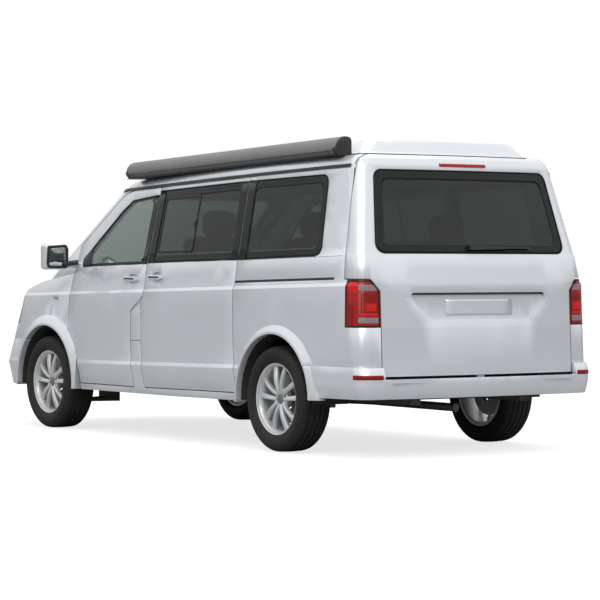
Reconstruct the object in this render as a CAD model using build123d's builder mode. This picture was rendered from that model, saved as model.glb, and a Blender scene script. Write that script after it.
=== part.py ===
"""Camper van with a lifting roof: body panels, glass, doors, running gear and cab, in millimetres.

X points forward, Y to the van's left and Z up. The origin is on the ground under the middle of the van.
"""
from build123d import *
from collections import namedtuple
from math import cos, radians, sin, tan
import os

os.makedirs("parts", exist_ok=True)

# ---------------------------------------------------------------- driving dimensions
half_length = 2452.0
half_width = 952.0
wheelbase = 3000.0
front_overhang = 908.0
track = 1628.0
tyre_radius = 336.0
tyre_width = 235.0
rim_radius = 216.0
arch_radius = 412.0
flare_radius = 486.0
wall = 62.0
frame_wall = 46.0
panel_gap = 6.0
glass_thickness = 5.0
glass_inset = 2.0
seat_gap = 0.3

front_axle_x = half_length - front_overhang
rear_axle_x = front_axle_x - wheelbase
wheel_y = track / 2

# ---------------------------------------------------------------- body form
# Each level is one outline of the body seen from above: its height over the origin, how far it climbs
# towards the tail in degrees, the x of the tail at the middle and at the corner, the half widths at the
# tail, the middle and the nose, the x of the nose at the corner and the middle, and the two corner radii.
Level = namedtuple("Level", "z climb tail_x tail_corner_x tail_y side_y nose_y nose_corner_x nose_x tail_r nose_r")
lower_levels = [
    Level(300, 0.5, -2418, -2366, 893, 916, 880, 2245, 2405, 110, 250),
    Level(502, 0.8, -2412, -2360, 916, 944, 900, 2290, 2464, 105, 260),
    Level(526, 0.8, -2410, -2358, 909, 935, 893, 2288, 2460, 105, 260),
    Level(1003, 1.3, -2388, -2336, 902, 932, 850, 2110, 2290, 100, 240),
    Level(1024, 1.3, -2384, -2332, 889, 919, 838, 2100, 2280, 95, 235),
    Level(1197, 1.3, -2350, -2298, 868, 900, 800, 1985, 2150, 90, 220),
]
upper_levels = [
    Level(1040, 1.3, -2344, -2292, 852, 886, 826, 1850, 1960, 90, 170),
    Level(1197, 1.3, -2346, -2294, 865, 898, 812, 1608, 1722, 90, 150),
    Level(1738, 1.7, -2204, -2158, 768, 800, 724, 785, 892, 100, 130),
    Level(1776, 1.7, -2186, -2140, 752, 786, 708, 712, 815, 100, 125),
    Level(1800, 1.7, -2160, -2114, 726, 760, 680, 640, 742, 95, 115),
]


def level_face(level, inset):
    """Outline of one level, drawn in by the inset all round, on its own slightly climbing plane."""
    climb = radians(level.climb)
    plane = Plane(origin=(0, 0, level.z), x_dir=(cos(climb), 0, -sin(climb)), z_dir=(sin(climb), 0, cos(climb)))
    tail_corner = level.tail_corner_x + inset
    nose_corner = level.nose_corner_x - inset
    middle = (tail_corner + nose_corner) / 2
    with BuildSketch(plane) as outline:
        with BuildLine():
            ThreePointArc(
                (tail_corner, inset - level.tail_y), (level.tail_x + inset, 0), (tail_corner, level.tail_y - inset)
            )
            ThreePointArc(
                (tail_corner, level.tail_y - inset), (middle, level.side_y - inset), (nose_corner, level.nose_y - inset)
            )
            ThreePointArc(
                (nose_corner, level.nose_y - inset), (level.nose_x - inset, 0), (nose_corner, inset - level.nose_y)
            )
            ThreePointArc(
                (nose_corner, inset - level.nose_y), (middle, inset - level.side_y), (tail_corner, inset - level.tail_y)
            )
        make_face()
        corners = outline.vertices().group_by(Axis.X)
        fillet(corners[0], level.tail_r - inset * 0.4)
        corners = outline.vertices().sort_by(Axis.X)[-2:]
        fillet(corners, level.nose_r - inset * 0.4)
    return outline.sketch


def stack(levels, inset):
    """Ruled skin through a run of levels."""
    with BuildPart() as skin:
        add(loft([level_face(level, inset).face() for level in levels], ruled=True, mode=Mode.PRIVATE))
    return skin.part



def side_block(corners, y_from, y_to, radius=0.0, grow=0.0):
    """An outline seen from the side, in x and z, carried across from one y to another."""
    with BuildPart() as block:
        with BuildSketch(Plane.XZ.offset(-y_from)):
            with BuildLine():
                FilletPolyline(*corners, radius=radius, close=True)
            make_face()
            if grow:
                offset(amount=grow, kind=Kind.INTERSECTION)
        extrude(amount=y_from - y_to)
    return block.part


def rear_block(corners, x_from, x_to, radius=0.0, grow=0.0):
    """An outline seen from behind, in y and z, carried along from one x to another."""
    with BuildPart() as block:
        with BuildSketch(Plane.YZ.offset(x_from)):
            with BuildLine():
                FilletPolyline(*corners, radius=radius, close=True)
            make_face()
            if grow:
                offset(amount=grow, kind=Kind.INTERSECTION)
        extrude(amount=x_to - x_from)
    return block.part


def top_block(corners, z_from, z_to, radius=0.0, grow=0.0):
    """An outline seen from above, in x and y, carried up from one z to another."""
    with BuildPart() as block:
        with BuildSketch(Plane.XY.offset(z_from)):
            with BuildLine():
                FilletPolyline(*corners, radius=radius, close=True)
            make_face()
            if grow:
                offset(amount=grow, kind=Kind.INTERSECTION)
        extrude(amount=z_to - z_from)
    return block.part


def box(x_span, y_span, z_span):
    """A plain block between two x, two y and two z."""
    with BuildPart() as block:
        with Locations(((x_span[0] + x_span[1]) / 2, (y_span[0] + y_span[1]) / 2, (z_span[0] + z_span[1]) / 2)):
            Box(x_span[1] - x_span[0], y_span[1] - y_span[0], z_span[1] - z_span[0])
    return block.part


def across(x, z, y_from, y_to, radius):
    """A round bar across the van."""
    with BuildPart() as bar:
        with BuildSketch(Plane.XZ.offset(-y_from)):
            with Locations((x, z)):
                Circle(radius)
        extrude(amount=y_from - y_to)
    return bar.part


def other_side(piece):
    """The same piece on the right of the van."""
    return mirror(piece, about=Plane.XZ, mode=Mode.PRIVATE)


def save(piece, label):
    """Name a finished sub-part and write its file."""
    piece.part.label = label
    export_step(piece.part, f"parts/{label}.step")


# The bonnet and the wings' tops: a side profile turned about a far axis, so that it is crowned across.
crown_radius = 6200.0
crown_axis_z = 1000.0 - crown_radius
bonnet_line = [(2560, 660), (2345, 872), (2150, 1003), (1960, 1068), (1740, 1122), (1255, 1180), (1000, 1246)]
crown_half_arc = 12.0

with BuildPart() as bonnet_cutter:
    lean = radians(crown_half_arc)
    crown_plane = Plane(origin=(0, 0, crown_axis_z), x_dir=(1, 0, 0), z_dir=(0, -cos(lean), sin(lean)))
    with BuildSketch(crown_plane):
        with BuildLine():
            Polyline(
                *[(x, z - crown_axis_z) for x, z in bonnet_line],
                (1000, 1400 - crown_axis_z),
                (2700, 1400 - crown_axis_z),
                (2700, 660 - crown_axis_z),
                close=True,
            )
        make_face()
    revolve(axis=Axis((0, 0, crown_axis_z), (1, 0, 0)), revolution_arc=2 * crown_half_arc)

# Flares round the wheel arches: a shallow cone that stands proud of the side.
flare_y = 948.0
with BuildPart() as flares:
    for axle_x in (front_axle_x, rear_axle_x):
        for side in (1, -1):
            with BuildSketch(Plane(origin=(axle_x, 0, tyre_radius), x_dir=(1, 0, 0), z_dir=(0, 0, 1))):
                with BuildLine():
                    Polyline(
                        (arch_radius - 10, side * 860),
                        (arch_radius - 10, side * flare_y),
                        (arch_radius + 14, side * flare_y),
                        (flare_radius, side * (flare_y - 30)),
                        (flare_radius, side * 860),
                        close=True,
                    )
                make_face()
            revolve(axis=Axis((axle_x, 0, tyre_radius), (0, 1, 0)))

with BuildPart() as arch_cuts:
    for axle_x in (front_axle_x, rear_axle_x):
        add(across(axle_x, tyre_radius, -1000, -600, arch_radius))
        add(across(axle_x, tyre_radius, 600, 1000, arch_radius))

lower_outer = stack(lower_levels, 0)
upper_outer = stack(upper_levels, 0)

with BuildPart() as base_form:
    add(lower_outer)
    add(bonnet_cutter.part, mode=Mode.SUBTRACT)

with BuildPart() as outer_form:
    add(base_form.part)
    add(upper_outer)
    add(flares.part)
    add(box((-3000, 3000), (-1000, 1000), (-300, 302)), mode=Mode.SUBTRACT)

# The room inside: the same outline drawn in by the walls, under a ceiling parallel to the roof.
roof_z = upper_levels[-1].z
roof_climb = radians(upper_levels[-1].climb)
ceiling_drop = 38.0


def roof_plane(height):
    """Plane parallel to the roof's top, this far above it."""
    return Plane(
        origin=(0, 0, roof_z + height), x_dir=(cos(roof_climb), 0, -sin(roof_climb)), z_dir=(sin(roof_climb), 0, cos(roof_climb))
    )


with BuildPart() as above_ceiling:
    with BuildSketch(roof_plane(-ceiling_drop)):
        Rectangle(6000, 2400)
    extrude(amount=400)

with BuildPart() as room:
    add(stack(lower_levels, wall))
    add(stack(upper_levels, frame_wall))
    add(above_ceiling.part, mode=Mode.SUBTRACT)

with BuildPart() as shell:
    add(outer_form.part)
    add(room.part, mode=Mode.SUBTRACT)
    add(arch_cuts.part, mode=Mode.SUBTRACT)


# The skin ahead of the doors: thinner walls and a top that follows the bonnet.
bay_wall = 36.0
bonnet_thickness = 28.0
with BuildPart() as bay:
    add(stack(lower_levels, bay_wall))
    add(base_form.part.moved(Location((0, 0, -bonnet_thickness))), mode=Mode.INTERSECT)

with BuildPart() as front_shell:
    add(base_form.part)
    add(flares.part)
    add(box((-3000, 3000), (-1000, 1000), (-300, 302)), mode=Mode.SUBTRACT)
    add(bay.part, mode=Mode.SUBTRACT)
    add(arch_cuts.part, mode=Mode.SUBTRACT)
    add(box((-3000, 1100), (-1000, 1000), (0, 2200)), mode=Mode.SUBTRACT)

# ---------------------------------------------------------------- seams, seen from the side in x and z
fixed_seam = 0.6
half_gap = panel_gap / 2
door_front_x = 1250.0
pillar_x = 163.0
sill_z = 346.0
gutter_z = 1722.0
front_door_seam = [
    (door_front_x, sill_z),
    (door_front_x, 1326),
    (708, 1684),
    (560, gutter_z - 12),
    (pillar_x, gutter_z - 4),
    (pillar_x, 972),
    (326, 872),
    (326, 660),
    (290, sill_z),
]
slide_door_rear_x = -1000.0
slide_door_seam = [
    (pillar_x, gutter_z - 2),
    (pillar_x, 974),
    (194, 930),
    (183, 662),
    (146, sill_z + 2),
    (-1016, sill_z + 12),
    (slide_door_rear_x + 8, 640),
    (slide_door_rear_x + 16, 960),
    (slide_door_rear_x, 1222),
    (slide_door_rear_x, gutter_z + 32),
]
flap_seam = [(326, 664), (326, 872), (194, 932), (183, 664)]
track_low_z = 1044.0
track_height = 15.0
track_rear_x = -2080.0
track_climb = tan(radians(1.3))
track_slot = [
    (slide_door_rear_x + 12 - half_gap, track_low_z + 1000 * track_climb),
    (track_rear_x, track_low_z - track_rear_x * track_climb),
    (track_rear_x, track_low_z + track_height - track_rear_x * track_climb),
    (slide_door_rear_x + 12 - half_gap, track_low_z + track_height + 1000 * track_climb),
]
lamp_front_x = -2212.0
lamp_inner_y = 745.0
lamp_bottom_z = 801.0
lamp_top_z = 1094.0
tailgate_bottom_z = 500.0
tailgate_front_x = -2112.0
tailgate_side_seam = [(lamp_front_x + 30, lamp_top_z + 2), (tailgate_front_x, 1900), (-2600, 1900), (-2600, lamp_top_z + 2)]
lamp_corner_drop = 72.0
lamp_corner_width = 62.0
tailgate_lower_seam = [
    (-lamp_inner_y, tailgate_bottom_z),
    (lamp_inner_y, tailgate_bottom_z),
    (lamp_inner_y, lamp_top_z - lamp_corner_drop),
    (lamp_inner_y + lamp_corner_width, lamp_top_z),
    (lamp_inner_y + lamp_corner_width, lamp_top_z + 60),
    (-lamp_inner_y - lamp_corner_width, lamp_top_z + 60),
    (-lamp_inner_y - lamp_corner_width, lamp_top_z),
    (-lamp_inner_y, lamp_top_z - lamp_corner_drop),
]
lamp_seam = [
    (lamp_inner_y, lamp_bottom_z),
    (lamp_inner_y, lamp_top_z - lamp_corner_drop),
    (lamp_inner_y + lamp_corner_width, lamp_top_z),
    (1000, lamp_top_z),
    (1000, lamp_bottom_z),
]
lamp_side = [(lamp_front_x, lamp_bottom_z - 6), (lamp_front_x, lamp_top_z + 6), (-2600, lamp_top_z + 6), (-2600, lamp_bottom_z - 6)]

# Windows, seen from the side, and the screens, seen from ahead and behind.
belt_z = 1206.0
window_radius = 26.0
front_window = [(216, belt_z - 10), (1150, belt_z - 30), (1160, belt_z + 16), (694, 1560), (560, 1632), (216, 1660)]
middle_window = [(118, belt_z - 4), (-958, belt_z + 14), (-958, 1722), (118, 1690)]
quarter_window = [(-1042, belt_z + 16), (-1916, belt_z + 36), (-1878, 1742), (-1042, 1724)]
windscreen_outline = [(-742, 1080), (742, 1080), (652, 1706), (-652, 1706)]
rear_window = [(-742, 1256), (742, 1256), (668, 1768), (-668, 1768)]


with BuildPart() as glass_skin:
    add(stack(upper_levels, glass_inset))
    add(stack(upper_levels, glass_inset + glass_thickness), mode=Mode.SUBTRACT)


def window_glass(block):
    """Sheet of glass that follows the body's form inside a window's outline."""
    with BuildPart() as sheet:
        add(glass_skin.part)
        add(block, mode=Mode.INTERSECT)
    return sheet.part


front_window_block = side_block(front_window, 500, 1000, window_radius)
front_glass_block = side_block(front_window, 500, 1000, window_radius, -seat_gap)
middle_window_block = side_block(middle_window, 500, 1000, window_radius)
middle_glass_block = side_block(middle_window, 500, 1000, window_radius, -seat_gap)
quarter_window_block = side_block(quarter_window, 500, 1000, 2 * window_radius)
quarter_glass_block = side_block(quarter_window, 500, 1000, 2 * window_radius, -seat_gap)
windscreen_block = rear_block(windscreen_outline, 500, 2200, 2 * window_radius)
windscreen_glass_block = rear_block(windscreen_outline, 500, 2200, 2 * window_radius, -seat_gap)
rear_window_block = rear_block(rear_window, -2600, -1900, 2 * window_radius)
rear_glass_block = rear_block(rear_window, -2600, -1900, 2 * window_radius, -seat_gap)
front_arch_strip = across(front_axle_x, tyre_radius, 500, 1000, flare_radius)

with BuildPart() as gutter_cutter:
    with BuildSketch(roof_plane(gutter_z + 16 - roof_z)):
        Rectangle(6000, 2400)
    extrude(amount=400)

# ---------------------------------------------------------------- body sides
bumper_top_z = 560.0
bumper_ledge_z = 487.0
front_bumper_top_z = 640.0
header_y = 560.0
wing_rear_x = door_front_x + panel_gap


def body_side():
    """Left side of the body: sill, pillars, cant rail and rear quarter, with every opening cut."""
    with BuildPart() as side:
        add(shell.part)
        add(gutter_cutter.part, mode=Mode.SUBTRACT)
        add(box((-3000, 3000), (-1000, header_y), (0, 2200)), mode=Mode.SUBTRACT)
        add(side_block([(wing_rear_x, 200), (3000, 200), (3000, 1060), (wing_rear_x, 1060)], 0, 1000), mode=Mode.SUBTRACT)
        add(base_form.part.intersect(box((wing_rear_x, 3000), (0, 1000), (900, 1400))), mode=Mode.SUBTRACT)
        add(front_arch_strip, mode=Mode.SUBTRACT)
        add(side_block(front_door_seam, 500, 1000, 0, half_gap), mode=Mode.SUBTRACT)
        add(windscreen_block, mode=Mode.SUBTRACT)
        add(quarter_window_block, mode=Mode.SUBTRACT)
        add(side_block(tailgate_side_seam, 0, 1000, 0, half_gap), mode=Mode.SUBTRACT)
        add(rear_block(tailgate_lower_seam, -2600, -2250, 0, half_gap), mode=Mode.SUBTRACT)
        add(rear_block(lamp_seam, -2600, lamp_front_x, 0, 0), mode=Mode.SUBTRACT)
        add(box((-2600, rear_axle_x), (500, 1000), (0, bumper_top_z)), mode=Mode.SUBTRACT)
    return side.part


door_pad = box((400, 430), (880, 894), (sill_z - half_gap - 2, sill_z + half_gap - seat_gap))
side_form = body_side()
flap_thickness = 12.0
track_depth = 16.0
with BuildPart() as flap_pocket:
    add(side_block(flap_seam, 500, 1000))
    add(stack(lower_levels, flap_thickness + seat_gap), mode=Mode.SUBTRACT)

with BuildPart() as track_groove:
    add(side_block(track_slot, 500, 1000, 0, seat_gap))
    add(stack(lower_levels, track_depth), mode=Mode.SUBTRACT)

with BuildPart() as left_body_side:
    add(side_form)
    add(door_pad)
    add(side_block(slide_door_seam, 500, 1000, 0, half_gap), mode=Mode.SUBTRACT)
    add(flap_pocket.part, mode=Mode.SUBTRACT)
    add(track_groove.part, mode=Mode.SUBTRACT)
save(left_body_side, "left_body_side")

with BuildPart() as right_body_side:
    add(other_side(side_form))
    add(other_side(door_pad))
    add(other_side(middle_window_block), mode=Mode.SUBTRACT)
save(right_body_side, "right_body_side")

# ---------------------------------------------------------------- sliding door, front doors
handle_half_length = 92.0
handle_half_height = 14.0
handle_reach = 30.0
handle_space = 14.0
bowl_half_length = 58.0
bowl_half_height = 33.0
bowl_depth = 18.0
bowl_floor = stack(lower_levels, bowl_depth)
handle_outside = stack(lower_levels, -handle_reach)
handle_inside = stack(lower_levels, -handle_space)


def rectangle(x, z, half_length, half_height):
    """Corners of an upright rectangle seen from the side."""
    low, high = z - half_height, z + half_height
    return [(x - half_length, low), (x + half_length, low), (x + half_length, high), (x - half_length, high)]


def handle_bowl(x, z):
    """Hollow behind a door handle, for the fingers."""
    with BuildPart() as bowl:
        add(side_block(rectangle(x, z, bowl_half_length, bowl_half_height), 800, 1000, bowl_half_height - 1))
        add(bowl_floor, mode=Mode.SUBTRACT)
    return bowl.part


def handle_bar(x, z):
    """Door handle: a bar that bridges its bowl on two feet."""
    with BuildPart() as bar:
        add(side_block(rectangle(x, z, handle_half_length, handle_half_height), 800, 1000, handle_half_height - 1))
        add(handle_outside, mode=Mode.INTERSECT)
        add(handle_inside, mode=Mode.SUBTRACT)
        for end in (1, -1):
            foot_x = x + end * (handle_half_length - handle_half_height)
            foot = side_block(rectangle(foot_x, z, handle_half_height - 2, handle_half_height - 2), 900, 1000)
            add(foot.intersect(handle_outside))
        add(bowl_floor, mode=Mode.SUBTRACT)
    return bar.part


front_handle = (347.0, 1090.0)
slide_handle = (8.0, 1102.0)
with BuildPart() as sliding_door:
    add(shell.part)
    add(side_block(slide_door_seam, 500, 1000, 0, -half_gap), mode=Mode.INTERSECT)
    add(middle_window_block, mode=Mode.SUBTRACT)
    add(handle_bowl(*slide_handle), mode=Mode.SUBTRACT)
    add(handle_bar(*slide_handle))
save(sliding_door, "sliding_door")

with BuildPart() as front_door_left:
    add(shell.part)
    add(side_block(front_door_seam, 500, 1000, 0, -half_gap), mode=Mode.INTERSECT)
    add(across(front_axle_x, tyre_radius, 500, 1000, flare_radius + panel_gap), mode=Mode.SUBTRACT)
    add(front_window_block, mode=Mode.SUBTRACT)
    add(handle_bowl(*front_handle), mode=Mode.SUBTRACT)
    add(handle_bar(*front_handle))
save(front_door_left, "front_door_left")

with BuildPart() as front_door_right:
    add(other_side(front_door_left.part))
save(front_door_right, "front_door_right")

# ---------------------------------------------------------------- glass
with BuildPart() as door_glass_left:
    add(window_glass(front_glass_block))
    add(base_form.part, mode=Mode.SUBTRACT)
save(door_glass_left, "door_glass_left")
with BuildPart() as door_glass_right:
    add(other_side(door_glass_left.part))
save(door_glass_right, "door_glass_right")

with BuildPart() as side_glass:
    middle_pane = window_glass(middle_glass_block)
    quarter_pane = window_glass(quarter_glass_block)
    add(middle_pane)
    add(quarter_pane)
    add(other_side(middle_pane))
    add(other_side(quarter_pane))
save(side_glass, "side_glass")

with BuildPart() as windscreen:
    add(window_glass(windscreen_glass_block))
    add(box((600, 2200), (-1000, 1000), (1000, 2000)), mode=Mode.INTERSECT)
    add(base_form.part.moved(Location((0, 0, seat_gap))), mode=Mode.SUBTRACT)
save(windscreen, "windscreen")

with BuildPart() as tailgate_glass:
    add(window_glass(rear_glass_block))
save(tailgate_glass, "tailgate_glass")

# ---------------------------------------------------------------- roof and lid
hatch_rear_x = -680.0
hatch_front_x = 430.0
hatch_half_width = 545.0
hatch_radius = 60.0
roof_rear_x = tailgate_front_x + panel_gap

with BuildPart() as roof_zone:
    add(gutter_cutter.part)
    add(box((500, 1200), (-header_y, header_y), (1600, 1800)))

with BuildPart() as roof_frame:
    add(shell.part)
    add(roof_zone.part, mode=Mode.INTERSECT)
    add(windscreen_block, mode=Mode.SUBTRACT)
    add(box((-3000, roof_rear_x), (-1000, 1000), (1500, 2200)), mode=Mode.SUBTRACT)
    with BuildSketch(roof_plane(-100)):
        with Locations(((hatch_rear_x + hatch_front_x) / 2, 0)):
            RectangleRounded(hatch_front_x - hatch_rear_x, 2 * hatch_half_width, hatch_radius)
    extrude(amount=200, mode=Mode.SUBTRACT)
save(roof_frame, "roof_frame")

# The lid is a shallow shell in the same ruled way: flange, bevel and a top that climbs more than the roof.
lid_levels = [
    Level(roof_z + seat_gap, 1.7, -2074, -2050, 660, 678, 600, 742, 800, 60, 150),
    Level(roof_z + 16, 1.7, -2072, -2048, 658, 676, 598, 738, 796, 60, 150),
    Level(roof_z + 22, 1.75, -2060, -2036, 640, 658, 584, 716, 776, 60, 150),
    Level(roof_z + 68, 2.65, -2016, -1992, 572, 596, 520, 560, 640, 60, 150),
]
lid_wall = 24.0
lid_skin = 20.0
lid_hollow_levels = [
    level._replace(z=level.z - (0 if level is not lid_levels[0] else 2) - (lid_skin if level is lid_levels[-1] else 0))
    for level in lid_levels
]
with BuildPart() as roof_lid:
    add(stack(lid_levels, 0))
    add(stack(lid_hollow_levels, lid_wall), mode=Mode.SUBTRACT)
save(roof_lid, "roof_lid")

bellows_wall = 14.0
bellows_height = 21.0
bellows_margin = 22.0
with BuildPart() as roof_bellows:
    with BuildSketch(roof_plane(seat_gap)):
        with Locations(((hatch_rear_x + hatch_front_x) / 2 - 500, 0)):
            RectangleRounded(2200, 2 * (hatch_half_width + bellows_margin), hatch_radius)
            RectangleRounded(2200 - 2 * bellows_wall, 2 * (hatch_half_width + bellows_margin - bellows_wall), hatch_radius, mode=Mode.SUBTRACT)
    extrude(amount=bellows_height)
save(roof_bellows, "roof_bellows")

bed_height = 30.0
with BuildPart() as loft_bed:
    with BuildSketch(roof_plane(seat_gap)):
        with Locations(((-1690 + hatch_rear_x) / 2 - 8, 0)):
            RectangleRounded(hatch_rear_x + 1690 - 40, 2 * (hatch_half_width - 20), 30)
    extrude(amount=bed_height)
save(loft_bed, "loft_bed")

# ---------------------------------------------------------------- tailgate
# A shallow tray in the tailgate's skin where the number plate would be screwed on.
recess_outline = [(-575, 1012), (575, 1012), (382, 846), (-382, 846)]
recess_depth = 18.0
recess_radius = 28.0
with BuildPart() as plate_recess:
    add(rear_block(recess_outline, -2600, -2200, recess_radius))
    add(stack(lower_levels, recess_depth), mode=Mode.SUBTRACT)

with BuildPart() as tailgate_zone:
    add(side_block(tailgate_side_seam, -1000, 1000, 0, -half_gap))
    add(rear_block(tailgate_lower_seam, -2600, -2250, 0, -half_gap))

with BuildPart() as tailgate:
    add(shell.part)
    add(tailgate_zone.part, mode=Mode.INTERSECT)
    add(rear_window_block, mode=Mode.SUBTRACT)
    add(plate_recess.part, mode=Mode.SUBTRACT)
save(tailgate, "tailgate")

with BuildPart() as left_lamp:
    add(shell.part)
    add(rear_block(lamp_seam, -2600, lamp_front_x, 0, -seat_gap), mode=Mode.INTERSECT)
    add(side_block(lamp_side, 500, 1000, 0, -seat_gap), mode=Mode.INTERSECT)
    add(rear_block(tailgate_lower_seam, -2600, -2250, 0, half_gap), mode=Mode.SUBTRACT)

with BuildPart() as rear_lamps:
    add(left_lamp.part)
    add(other_side(left_lamp.part))
save(rear_lamps, "rear_lamps")

# ---------------------------------------------------------------- bumpers, wings, bonnet, grille, headlamps
bumper_wall = 34.0
rear_bumper_levels = [
    Level(345, 0.5, -2440, -2388, 897, 926, 890, 2245, 2405, 110, 250),
    Level(420, 0.5, -2450, -2398, 912, 946, 890, 2245, 2405, 110, 250),
    Level(484, 0.5, -2452, -2400, 914, 949, 890, 2245, 2405, 110, 250),
    Level(bumper_top_z, 0.5, -2426, -2374, 912, 944, 890, 2245, 2405, 110, 250),
]
rear_bumper_hollow = [rear_bumper_levels[0]._replace(z=340), *rear_bumper_levels[1:3], rear_bumper_levels[3]._replace(z=bumper_top_z + 4)]
with BuildPart() as rear_bumper:
    add(stack(rear_bumper_levels, 0))
    add(flares.part)
    add(box((-2600, rear_axle_x), (-1000, 1000), (345, bumper_top_z - fixed_seam)), mode=Mode.INTERSECT)
    add(stack(rear_bumper_hollow, bumper_wall), mode=Mode.SUBTRACT)
    add(arch_cuts.part, mode=Mode.SUBTRACT)
    add(box((-2600, -2300), (-lamp_inner_y - 3, lamp_inner_y + 3), (bumper_ledge_z, 700)), mode=Mode.SUBTRACT)
    add(box((-2440, -2360), (-700, 700), (bumper_ledge_z - 24, bumper_ledge_z)))
    add(box((-2392, -2372), (-30, 30), (bumper_ledge_z - 10, tailgate_bottom_z + half_gap - seat_gap)))
save(rear_bumper, "rear_bumper")

bonnet_side_y = 690.0
bonnet_corner_x = 1764.0
bonnet_outline = [
    (bonnet_corner_x, -bonnet_side_y),
    (1806, -420),
    (1840, 0),
    (1806, 420),
    (bonnet_corner_x, bonnet_side_y),
    (1900, bonnet_side_y),
    (2120, 668),
    (2600, 600),
    (2600, -600),
    (2120, -668),
    (1900, -bonnet_side_y),
]
bonnet_front_z = 880.0
with BuildPart() as bonnet:
    add(front_shell.part)
    add(top_block(bonnet_outline, bonnet_front_z, 1400, 0, -half_gap), mode=Mode.INTERSECT)
save(bonnet, "bonnet")

bumper_front_x = 1900.0
intake = [(-430, 372), (430, 372), (500, 520), (-500, 520)]
with BuildPart() as front_bumper:
    add(front_shell.part)
    add(box((front_axle_x, 2600), (-1000, 1000), (300, front_bumper_top_z)), mode=Mode.INTERSECT)
    add(rear_block(intake, 2000, 2600, 20), mode=Mode.SUBTRACT)
save(front_bumper, "front_bumper")

grille_half_width = 520.0
lamp_low_z = 700.0
headlamp_outline = [(grille_half_width, lamp_low_z), (grille_half_width, bonnet_front_z + 20), (640, 960), (1000, 1010), (1000, 770)]
headlamp_rear_x = 2040.0
with BuildPart() as left_headlamp:
    add(front_shell.part)
    add(rear_block(headlamp_outline, headlamp_rear_x, 2600, 0, -seat_gap), mode=Mode.INTERSECT)
    add(top_block(bonnet_outline, bonnet_front_z, 1400, 0, half_gap), mode=Mode.SUBTRACT)

with BuildPart() as headlamps:
    add(left_headlamp.part)
    add(other_side(left_headlamp.part))
save(headlamps, "headlamps")

grille_zone_low = front_bumper_top_z + fixed_seam
bonnet_stop_y = 300.0
with BuildPart() as grille:
    add(front_shell.part)
    add(box((2000, 2600), (seat_gap - grille_half_width, grille_half_width - seat_gap), (grille_zone_low, bonnet_front_z - half_gap)), mode=Mode.INTERSECT)
    for slot_z in (676, 728, 780, 832):
        add(box((2000, 2600), (30 - grille_half_width, grille_half_width - 30), (slot_z, slot_z + 34)), mode=Mode.SUBTRACT)
    for stop_y in (bonnet_stop_y, -bonnet_stop_y):
        add(box((2268, 2290), (stop_y - 12, stop_y + 12), (870, bonnet_front_z - seat_gap)))
save(grille, "grille")

with BuildPart() as front_wings:
    add(front_shell.part)
    add(box((1900, 2600), (-1000, 1000), (0, front_bumper_top_z + fixed_seam)), mode=Mode.SUBTRACT)
    add(box((front_axle_x, 1901), (-1000, 1000), (0, front_bumper_top_z + fixed_seam)), mode=Mode.SUBTRACT)
    add(top_block(bonnet_outline, bonnet_front_z, 1400, 0, half_gap), mode=Mode.SUBTRACT)
    add(box((2000, 2600), (-grille_half_width, grille_half_width), (0, 1000)), mode=Mode.SUBTRACT)
    for outline in (headlamp_outline, [(-y, z) for y, z in headlamp_outline]):
        add(rear_block(outline, headlamp_rear_x - seat_gap, 2600, 0, 0), mode=Mode.SUBTRACT)
    add(box((1000, 1900), (-690, 690), (800, 1400)), mode=Mode.SUBTRACT)
    rear_keep = side_block([(wing_rear_x, 200), (3000, 200), (3000, 1400), (wing_rear_x, 1400)], -1000, 1000)
    strip = across(front_axle_x, tyre_radius, -1000, 1000, flare_radius - fixed_seam)
    add(rear_keep + strip, mode=Mode.INTERSECT)
save(front_wings, "front_wings")


cowl_rear_x = 1140.0
with BuildPart() as cowl:
    add(front_shell.part)
    add(box((cowl_rear_x, 1900), (seat_gap - 690, 690 - seat_gap), (900, 1400)), mode=Mode.INTERSECT)
    add(top_block(bonnet_outline, bonnet_front_z, 1400, 0, half_gap), mode=Mode.SUBTRACT)
save(cowl, "cowl")

# ---------------------------------------------------------------- floor, firewall and underbody
floor_z = 392.0
floor_thickness = 26.0
floor_top = floor_z + floor_thickness
leg_y = 430.0
leg_width = 76.0
leg_low_z = 322.0
firewall_x = 1112.0
firewall_thickness = 24.0
house_radius = 428.0
house_wall = 12.0
house_inner_y = 640.0
front_house_inner_y = 500.0
floor_half_width = 900.0
rear_beam_radius = 38.0
beam_clearance = 6.0


def wheel_house(axle_x, inner_y, outer_y):
    """Left wheel house: half a drum over the wheel, closed on its inner side."""
    with BuildPart() as house:
        with BuildSketch(Plane.XZ.offset(-inner_y)):
            with Locations((axle_x, tyre_radius)):
                Circle(house_radius + house_wall)
        extrude(amount=inner_y - outer_y)
        with BuildSketch(Plane.XZ.offset(-inner_y - house_wall)):
            with Locations((axle_x, tyre_radius)):
                Circle(house_radius)
        extrude(amount=inner_y + house_wall - outer_y - 1, mode=Mode.SUBTRACT)
        add(box((axle_x - 600, axle_x + 600), (0, 1000), (-300, floor_z)), mode=Mode.SUBTRACT)
    return house.part


with BuildPart() as room_fit:
    add(stack(lower_levels, wall + seat_gap))
    add(box((-3000, firewall_x + 60), (-1000, 1000), (300, 1400)), mode=Mode.INTERSECT)

with BuildPart() as bay_fit:
    add(stack(lower_levels, bay_wall + seat_gap))
    add(base_form.part.moved(Location((0, 0, -bonnet_thickness - seat_gap))), mode=Mode.INTERSECT)

with BuildPart() as rear_house:
    add(wheel_house(rear_axle_x, house_inner_y, 960))
    add(room_fit.part, mode=Mode.INTERSECT)

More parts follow.
